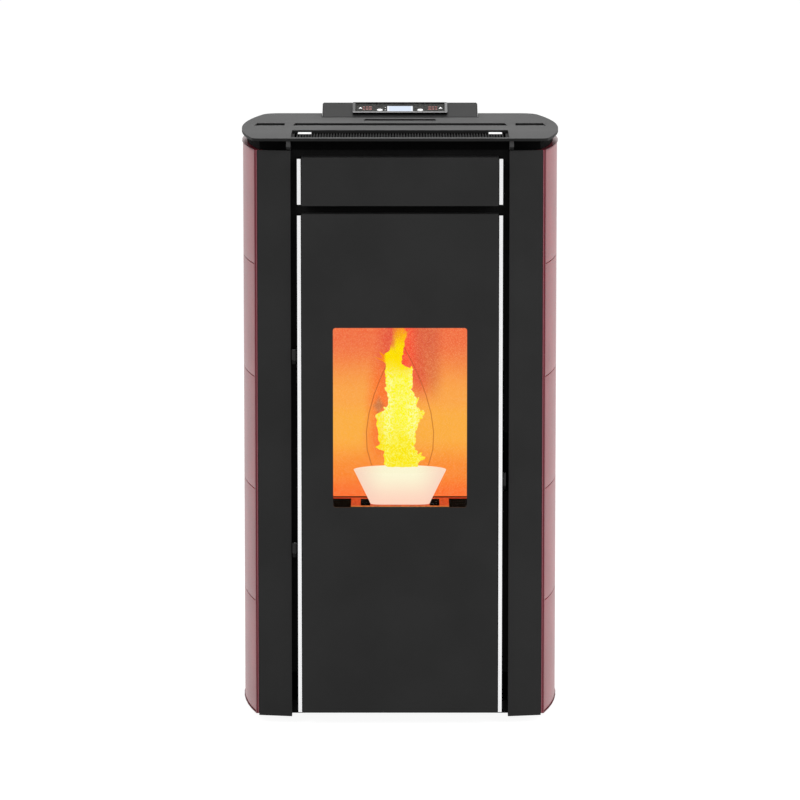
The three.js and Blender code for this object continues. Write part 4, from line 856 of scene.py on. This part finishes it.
plain_steel.cover("flue_fan_housing", "igniter")
zinc.cover("flue_fan_wheel", "air_inlet_pipe")


# Room-air blower
# A zinc-plated drum on a foot with its outlet upwards; its wheel is moulded in black plastic.

zinc.cover("room_blower_housing")

moulded_black = Finish("moulded_black", {"Specular IOR Level": 0.35})
mould_grain = moulded_black.grain(1100.0, 2.0)
moulded_black.surface(
    {
        "Base Color": moulded_black.mix(mould_grain, linear(22, 22, 23), linear(30, 30, 31)),
        "Roughness": 0.42 + 0.14 * (mould_grain - 0.5),
        "Normal": moulded_black.relief(mould_grain, 0.00008, 0.4),
    }
)
moulded_black.cover("room_blower_wheel")


# Control board, mains inlet and switch
# A green board on pillars behind the rear panel, and a moulded inlet with a rocker switch.

board_parts_height = 0.0122
board_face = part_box("control_board")[1].y - board_parts_height
board = Finish("circuit_board", {"Specular IOR Level": 0.4})
board_part = 1.0 - board.along("Y").rises(board_face - 0.0006, board_face)
trace_inputs = {"Vector": board.place(), "Scale": 160.0}
trace_settings = {"feature": "F1", "distance": "CHEBYCHEV"}
trace = board.node("ShaderNodeTexVoronoi", trace_settings, trace_inputs, output="Distance")
board_green = board.mix(trace.rises(0.3, 0.34), linear(26, 88, 54), linear(44, 116, 72))
board.surface(
    {
        "Base Color": board.mix(board_part, board_green, linear(38, 39, 42)),
        "Roughness": 0.4 + 0.1 * trace,
    }
)
board.cover("control_board")
moulded_black.cover("mains_inlet", "power_switch")


# Rear panel
# One sheet in black powder coat with air slots, screwed to the body round its edge with
# pan-head screws.

black_coat.cover("rear_panel")

panel_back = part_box("rear_panel")[1].y / MM + 0.02
screw_radius = 3.6
screw_height = 2.0
screw_sides = 24
screw_recess = 0.9


def pan_head(name, x, z):
    """A screw of the rear panel, with its domed head and cross recess."""
    profile = [(screw_radius, 0.0), (screw_radius, 0.5), (screw_radius * 0.86, 1.3)]
    profile += [(screw_radius * 0.6, 1.8), (screw_radius * 0.34, screw_height)]
    turns = [2 * math.pi * i / screw_sides for i in range(screw_sides)]
    points = []
    for radius, rise in profile:
        for turn in turns:
            edge = (x + radius * math.cos(turn), panel_back + rise, z + radius * math.sin(turn))
            points.append(edge)
    # The innermost ring reaches further at every quarter turn, which gives the cross its arms.
    for turn in turns:
        arm = max(abs(math.cos(turn)), abs(math.sin(turn))) > 0.95
        reach = screw_radius * (0.3 if arm else 0.14)
        corner = (x + reach * math.cos(turn), panel_back + screw_recess, z + reach * math.sin(turn))
        points.append(corner)
    rings = len(profile) + 1
    faces = [face[::-1] for face in band_faces(rings, screw_sides)]
    faces.append(tuple(range((rings - 1) * screw_sides, rings * screw_sides)))
    add_piece(name, points, faces, zinc, "stove", (), 35)


screw_columns = (-200, -70, 70, 200)
screw_levels = (26, 300, 520, 896)
for column, x in enumerate(screw_columns):
    for level, z in enumerate(screw_levels):
        if abs(x) == 200 or z in (26, 896):
            pan_head(f"panel_screw_{column}_{level}", x, z)


# Top frame, top plate and grille
# The frame is the band under the top, painted near black for the shade under the overhang. The
# plate is 4 mm steel in dark grey powder coat, with pressed finger recesses, and the warm-air
# grille hangs in its opening on white clips, which glow with painted light.

# Painted shade: the band is near black for the shade under the plate; its tabs keep their grey.
neck_painted_shade = Finish("neck_painted_shade", {"Specular IOR Level": 0.05})
neck_peel = neck_painted_shade.grain(1400.0, 1.0)
tab_face = 1.0 - (neck_painted_shade.along("X").size() - 0.1732).size().rises(0.0034, 0.0036)
tab_face = tab_face * (1.0 - neck_painted_shade.along("Y").rises(-0.1798, -0.1794))
neck_painted_shade.surface(
    {
        "Base Color": neck_painted_shade.mix(tab_face, linear(7, 7, 7), linear(66, 66, 66)),
        "Roughness": 0.9 + 0.1 * (neck_peel - 0.5),
        "Normal": neck_painted_shade.relief(neck_peel, 0.00004, 0.3),
    }
)
neck_painted_shade.cover("top_frame")

top_coat = powder_coat(
    "dark_grey_powder_coat", linear(22, 22, 22), linear(27, 27, 27), 0.6, 0.00008, 0.12
)
top_coat.cover("top_plate")

grille_coat = Finish("grille_coat", {"Specular IOR Level": 0.04, "Emission Strength": 1.0})
grille_height = grille_coat.along("Z")
# The clips are white, and their emission is painted light.
grille_clip_and_painted_glow = grille_height.rises(0.92405, 0.92425)
grille_peel = grille_coat.grain(1400.0, 1.0)
grille_coat.surface(
    {
        "Base Color": grille_coat.mix(grille_clip_and_painted_glow, linear(10, 10, 10), linear(244, 244, 244)),
        "Roughness": 0.7 + 0.05 * (grille_peel - 0.5),
        "Emission Color": grille_coat.mix(grille_clip_and_painted_glow, linear(0, 0, 0), linear(160, 160, 160)),
        "Normal": grille_coat.relief(grille_peel, 0.00006, 0.4),
    }
)

grille_across = (165.0, 173.4)
grille_bar_half = 1.1
grille_chamfer = 0.3
grille_ends = ((-16.9, -10.0), (93.0, 99.9))
grille_levels = (921.95, 923.85)
grille_pitch = 4.4
grille_count = 74


def add_block(points, faces, across, along, levels, chamfer):
    """Adds a box with its upper edges cut back by chamfer."""
    start = len(points)
    (x0, x1), (y0, y1), (z0, z1) = across, along, levels
    for inset, z in ((0.0, z0), (0.0, z1 - chamfer), (chamfer, z1)):
        for x, y in ((x0, y0), (x1, y0), (x1, y1), (x0, y1)):
            x += inset if x == x0 else -inset
            y += inset if y == y0 else -inset
            points.append((x, y + plan_shift, z))
    faces += [tuple(start + corner for corner in face) for face in band_faces(3, 4)]
    faces.append((start + 3, start + 2, start + 1, start))
    faces.append((start + 8, start + 9, start + 10, start + 11))


grille_points, grille_faces = [], []
grille_inner = (-10.0, 93.0)
grille_blocks = [((-grille_across[1], grille_across[1]), along) for along in grille_ends]
for side in (-1, 1):
    grille_blocks.append((sorted(side * x for x in grille_across), grille_inner))
for bar in range(grille_count):
    x = (bar - (grille_count - 1) / 2) * grille_pitch
    grille_blocks.append(((x - grille_bar_half, x + grille_bar_half), grille_inner))
for across, along in grille_blocks:
    add_block(grille_points, grille_faces, across, along, grille_levels, grille_chamfer)
for side in (-1, 1):
    clip = sorted(side * x for x in (139.0, 160.0))
    add_block(grille_points, grille_faces, clip, (77.2, 94.8), (923.0, 925.4), 0.5)
add_piece(
    "fine_grille",
    grille_points,
    grille_faces,
    grille_coat,
    "stove",
    ("top_grille",),
    30,
)


# Hopper lid
# The rear half of the top, in the same plate and coat, hinged at its rear corners.

top_coat.cover("hopper_lid")


# Control housing, bezel, display and buttons
# The housing is folded sheet in the top's coat. A moulded bezel frames the display window,
# which has a lit screen, plain marks and two oval push buttons; the marks and buttons carry
# painted light as emission.

top_coat.cover("control_housing")

bezel_plastic = Finish("bezel_plastic", {"Specular IOR Level": 0.1})
bezel_grain = bezel_plastic.grain(1200.0, 2.0)
# Painted shade and light: the bezel's walls are near black, and its top is lighter along its foot
# and right side than on its left.
bezel_face = bezel_plastic.facing("Z").rises(0.7, 0.9)
bezel_foot = 1.0 - bezel_plastic.along("Y").rises(0.1355, 0.137)
bezel_painted_light = bezel_foot.at_least(bezel_plastic.along("X").rises(0.07, 0.072))
bezel_painted_light_and_shade = bezel_plastic.mix(bezel_painted_light, linear(24, 24, 24), linear(104, 104, 104))
bezel_plastic.surface(
    {
        "Base Color": bezel_plastic.mix(bezel_face, linear(3, 3, 3), bezel_painted_light_and_shade),
        "Roughness": 0.35 + 0.1 * (bezel_grain - 0.5),
        "Normal": bezel_plastic.relief(bezel_grain, 0.00005, 0.3),
    }
)
bezel_plastic.cover("control_bezel")

display_window = Finish("display_window", {"Specular IOR Level": 0.02})
window_grain = display_window.grain(300.0, 2.0)
display_window.surface(
    {
        "Base Color": display_window.mix(
            window_grain.rises(0.3, 0.7), linear(46, 46, 45), linear(84, 84, 82)
        ),
        "Roughness": 0.6 + 0.1 * (window_grain - 0.5),
    }
)
display_window.cover("display_panel")

# The buttons' emission is painted light.
button_white = Finish("button_white", {"Specular IOR Level": 0.4, "Emission Strength": 0.35})
button_grain = button_white.grain(800.0, 2.0)
button_white.surface(
    {
        "Base Color": button_white.mix(button_grain, linear(236, 236, 236), linear(246, 246, 246)),
        "Emission Color": button_white.mix(
            button_grain, linear(240, 240, 240), linear(255, 255, 255)
        ),
        "Roughness": 0.35 + 0.1 * (button_grain - 0.5),
    }
)
button_white.cover("button_left", "button_right")

slope_angle = math.atan2(17.1, 60.5)
slope_foot = Vector((0.0, 300.0 + plan_shift, 928.9))
slope_up = Vector((0.0, math.cos(slope_angle), math.sin(slope_angle)))
slope_out = Vector((0.0, -math.sin(slope_angle), math.cos(slope_angle)))
window_top = 1.8


def on_slope(x, up, out):
    point = slope_foot + slope_up * up + slope_out * out
    return (x, point.y, point.z)


def raised_mark(name, outline, finish, height=0.25):
    """A thin raised mark on the display window, from its outline seen from above."""
    count = len(outline)
    low = [on_slope(x, up, window_top) for x, up in outline]
    high = [on_slope(x, up, window_top + height) for x, up in outline]
    faces = [tuple(range(count, 2 * count)), tuple(reversed(range(count)))]
    for i in range(count):
        j = (i + 1) % count
        faces.append((i, j, j + count, i + count))
    add_piece(name, low + high, faces, finish, "stove", (), 20)


def rounded_box(x0, x1, y0, y1, radius, steps=5):
    corners = ((x1, y0, -90), (x1, y1, 0), (x0, y1, 90), (x0, y0, 180))
    outline = []
    for x, y, start in corners:
        cx = x - radius if x == x1 else x + radius
        cy = y - radius if y == y1 else y + radius
        for i in range(steps + 1):
            angle = math.radians(start + 90 * i / steps)
            outline.append((cx + radius * math.cos(angle), cy + radius * math.sin(angle)))
    return outline


screen_glow = Finish("screen_glow", {"Emission Strength": 1.0, "Specular IOR Level": 0.0})
screen_across = screen_glow.along("X").size()
screen_edge = screen_across.rises(0.0165, 0.0185)
screen_scan = screen_glow.grain(900.0, 1.0, (0.1, 1.0, 1.0))
screen_middle = screen_glow.mix(screen_scan * 0.4, linear(228, 238, 252), linear(212, 226, 250))
screen_glow.surface(
    {
        "Base Color": screen_glow.mix(screen_scan, linear(20, 24, 30), linear(26, 30, 38)),
        "Emission Color": screen_glow.mix(screen_edge, screen_middle, linear(246, 249, 255)),
    }
)
raised_mark("lit_screen", rounded_box(-20.6, 20.6, 18.0, 42.5, 0.8), screen_glow, 0.2)

# The marks' emission is painted light.
mark_white = Finish("mark_white", {"Emission Strength": 0.6, "Roughness": 0.5})
mark_grain = mark_white.grain(700.0, 1.0)
mark_white.surface(
    {
        "Base Color": mark_white.mix(mark_grain, linear(236, 236, 236), linear(250, 250, 250)),
        "Emission Color": mark_white.mix(mark_grain, linear(230, 230, 230), linear(250, 250, 250)),
    }
)
mark_red = Finish("mark_red", {"Emission Strength": 0.25, "Roughness": 0.5})
mark_red_grain = mark_red.grain(700.0, 1.0)
mark_red.surface(
    {
        "Base Color": mark_red.mix(mark_red_grain, linear(150, 76, 70), linear(166, 88, 80)),
        "Emission Color": mark_red.mix(mark_red_grain, linear(150, 76, 70), linear(166, 88, 80)),
    }
)
arrow_shape = ((-3.0, -4.0), (0.0, -1.6), (3.0, -4.0), (0.0, 4.2))
arrow_row = 34.5
scale_bars = ((45.4, 5.2), (51.6, 3.6), (56.8, 3.2))
scale_rows = (26.5, 32.5, 38.5)
scale_line = 1.7
for side_name, side, x in (("left", -1, -63.6), ("right", 1, 65.3)):
    outline = [(x + u, arrow_row + v) for u, v in arrow_shape]
    raised_mark(f"arrow_mark_{side_name}", outline, mark_white)
    for bar, (start, length) in enumerate(scale_bars):
        for line, up in enumerate(scale_rows):
            x0, x1 = sorted((side * start, side * (start + length)))
            outline = rounded_box(x0, x1, up, up + scale_line, 0.5, 2)
            raised_mark(f"scale_mark_{side_name}_{bar}_{line}", outline, mark_red)
dot_half = 0.8
for line, up in enumerate((26.5, 36.5)):
    outline = rounded_box(-24.4, -22.8, up - dot_half, up + dot_half, 0.7, 3)
    raised_mark(f"white_dot_{line}", outline, mark_white)


# Front door
# A folded steel tray in the black coat, closed behind by a plate with the glass frame. The
# heat-resisting glass is clamped behind the window, and a braided rope seals the door.

black_coat.cover("door_panel", "upper_front_panel", "latch_lever")

door_glass = Finish(
    "heat_resisting_glass",
    {"Roughness": 0.04, "Specular IOR Level": 0.5},
)
glass_film = door_glass.grain(16.0, 2.0)
door_glass.surface(
    {
        "Base Color": door_glass.mix(glass_film, linear(60, 48, 36), linear(80, 64, 48)),
        "Alpha": 0.02 + 0.02 * glass_film,
    }
)
door_glass.cover("door_glass")

rope = Finish("rope_seal", {"Specular IOR Level": 0.1})
weave_inputs = {"Vector": rope.place(), "Scale": 160.0, "Distortion": 1.5}
weave_settings = {"wave_type": "BANDS", "bands_direction": "DIAGONAL"}
weave = rope.node("ShaderNodeTexWave", weave_settings, weave_inputs)
rope.surface(
    {
        "Base Color": rope.mix(weave, linear(40, 40, 41), linear(86, 85, 83)),
        "Roughness": 0.9 + 0.05 * weave,
        "Normal": rope.relief(weave, 0.0006, 0.8),
    }
)
rope.cover("door_seal")
zinc.cover("door_hinge_pin_lower", "door_hinge_pin_upper")


# Door and panel trims
# Bright anodised aluminium strips with a fine line down the middle, one at each edge.

trim = Finish("bright_trim", {"Metallic": 1.0})
trim_brush = trim.grain(900.0, 2.0, (1.0, 1.0, 0.02))
trim.surface(
    {
        "Base Color": trim.mix(trim_brush, linear(230, 230, 231), linear(242, 242, 243)),
        "Roughness": 0.2 + 0.12 * (trim_brush - 0.5),
        "Normal": trim.relief(trim_brush, 0.00003, 0.3),
    }
)
trim.cover("door_trim_left", "door_trim_right", "upper_trim_left", "upper_trim_right")


# Smooth curves of the turned and folded solids
# Pipes, feet and wheels are round and the plates have curved edges, so their narrow faces are
# shaded as one curve.

WELD_REACH = 0.00001
smooth_below = math.radians(24)


def weld_skin(solid):
    solid.modifiers.new("one_skin", "WELD").merge_threshold = WELD_REACH


curve_tree = bpy.data.node_groups.new("smooth_curves", "GeometryNodeTree")
for way in ("INPUT", "OUTPUT"):
    curve_tree.interface.new_socket("Geometry", in_out=way, socket_type="NodeSocketGeometry")
curve_in = add_node(curve_tree, "NodeGroupInput")
curve_angle = add_node(curve_tree, "GeometryNodeInputMeshEdgeAngle")
test_inputs = {"A": curve_angle.outputs["Unsigned Angle"], "B": smooth_below}
curve_test = add_node(
    curve_tree, "FunctionNodeCompare", {"operation": "LESS_THAN"}, test_inputs
)
edge_inputs = {
    "Geometry": curve_in.outputs["Geometry"],
    "Shade Smooth": curve_test.outputs["Result"],
}
curve_edges = add_node(
    curve_tree, "GeometryNodeSetShadeSmooth", {"domain": "EDGE"}, edge_inputs
)
face_inputs = {"Geometry": curve_edges.outputs["Geometry"]}
curve_faces = add_node(curve_tree, "GeometryNodeSetShadeSmooth", None, face_inputs)
out_inputs = {"Geometry": curve_faces.outputs["Geometry"]}
add_node(curve_tree, "NodeGroupOutput", None, out_inputs)

for name in (
    "side_carrier_left",
    "side_carrier_right",
    *feet,
    "flue_fan_housing",
    "flue_fan_wheel",
    "air_inlet_pipe",
    "room_blower_housing",
    "room_blower_wheel",
    "auger_tube",
    "auger_screw",
    "auger_motor",
    "igniter",
    "door_hinge_pin_lower",
    "door_hinge_pin_upper",
    "door_seal",
    "button_left",
    "button_right",
    "hopper_lid",
    "top_plate",
    "rear_panel",
    "base_pan",
):
    weld_skin(nodes[name])
    curve = nodes[name].modifiers.new("smooth_curves", "NODES")
    curve.node_group = curve_tree


# Softened edges of the sheet and plate
# Powder coat rounds every cut edge a little, so the plain solids get a narrow bevel.

coated_edge = 0.5
for name in ("front_pillar_left", "front_pillar_right", "upper_front_panel", "door_panel"):
    solid = nodes[name]
    weld_skin(solid)
    flat = solid.modifiers.new("flat_faces", "DECIMATE")
    flat.decimate_type = "DISSOLVE"
    flat.angle_limit = math.radians(0.5)
    edge = solid.modifiers.new("coated_edge", "BEVEL")
    edge.width = coated_edge * MM
    edge.segments = 2
    edge.limit_method = "ANGLE"
    edge.angle_limit = math.radians(35)


# Studio
# A plain pale floor, a white surround and soft lamps, seen through a long lens.


def seen_rays(tree):
    """1 for what the camera sees, also in a gloss or through glass, and 0 for other light."""
    rays = add_node(tree, "ShaderNodeLightPath").outputs
    inputs = {0: rays["Is Camera Ray"], 1: rays["Is Glossy Ray"]}
    seen = add_node(tree, "ShaderNodeMath", {"operation": "ADD"}, inputs)
    settings = {"operation": "ADD", "use_clamp": True}
    inputs = {0: seen.outputs[0], 1: rays["Is Transmission Ray"]}
    return add_node(tree, "ShaderNodeMath", settings, inputs).outputs[0]


floor_reach = 30
floor_mesh = bpy.data.meshes.new("studio_floor")
floor_corners = [(-1, -1), (1, -1), (1, 1), (-1, 1)]
floor_mesh.from_pydata(
    [(x * floor_reach, y * floor_reach, 0) for x, y in floor_corners], [], [(0, 1, 2, 3)]
)
floor_piece = bpy.data.objects.new("studio_floor", floor_mesh)
bpy.context.scene.collection.objects.link(floor_piece)
floor_paint = bpy.data.materials.new("studio_floor")
floor_paint.use_nodes = True
floor_tree = floor_paint.node_tree
floor_tree.nodes.clear()
floor_matt = add_node(floor_tree, "ShaderNodeBsdfDiffuse", None, {"Color": (0.9, 0.9, 0.9, 1)})
floor_light = add_node(floor_tree, "ShaderNodeEmission", None, {"Strength": 1.24})
floor_share = add_node(
    floor_tree, "ShaderNodeMath", {"operation": "MULTIPLY"}, {0: seen_rays(floor_tree), 1: 0.75}
)
floor_inputs = {0: floor_share.outputs[0], 1: floor_matt.outputs[0], 2: floor_light.outputs[0]}
floor_mix = add_node(floor_tree, "ShaderNodeMixShader", None, floor_inputs)
add_node(floor_tree, "ShaderNodeOutputMaterial", None, {"Surface": floor_mix.outputs[0]})
floor_mesh.materials.append(floor_paint)

world = bpy.data.worlds.new("studio")
bpy.context.scene.world = world
world.use_nodes = True
world_tree = world.node_tree
world_tree.nodes.clear()
world_soft = add_node(world_tree, "ShaderNodeBackground", None, {"Strength": 0.45})
world_white = add_node(world_tree, "ShaderNodeBackground", None, {"Color": (1, 1, 1, 1)})
world_inputs = {0: seen_rays(world_tree), 1: world_soft.outputs[0], 2: world_white.outputs[0]}
world_mix = add_node(world_tree, "ShaderNodeMixShader", None, world_inputs)
add_node(world_tree, "ShaderNodeOutputWorld", None, {"Surface": world_mix.outputs[0]})


def add_lamp(name, place, aim, size, power):
    lamp = bpy.data.lights.new(name, "AREA")
    lamp.size = size
    lamp.energy = power
    lamp_object = bpy.data.objects.new(name, lamp)
    lamp_object.location = place
    direction = Vector(aim) - Vector(place)
    lamp_object.rotation_euler = direction.to_track_quat("-Z", "Y").to_euler()
    bpy.context.scene.collection.objects.link(lamp_object)


add_lamp("lamp_left", (-3.0, -3.2, 3.0), (0, 0, 0.5), 2.4, 80)
add_lamp("lamp_right", (3.4, -2.4, 2.4), (0, 0, 0.5), 2.4, 100)
add_lamp("lamp_back", (0.0, 3.2, 3.0), (0, 0, 0.8), 2.4, 40)

picture_width = 800
camera_focus = 5433
camera_distance = 8.401
camera_height = 1.8
camera_tilt = 8.7
camera = bpy.data.cameras.new("camera")
camera.sensor_width = 36.0
camera.lens = camera_focus / picture_width * camera.sensor_width
camera.clip_start = 0.1
camera.clip_end = 100.0
camera_object = bpy.data.objects.new("camera", camera)
camera_object.location = (0.0, plan_shift * MM - camera_distance, camera_height)
camera_object.rotation_euler = (math.radians(90 - camera_tilt), 0.0, 0.0)
bpy.context.scene.collection.objects.link(camera_object)
bpy.context.scene.camera = camera_object
bpy.context.scene.view_settings.view_transform = "Standard"
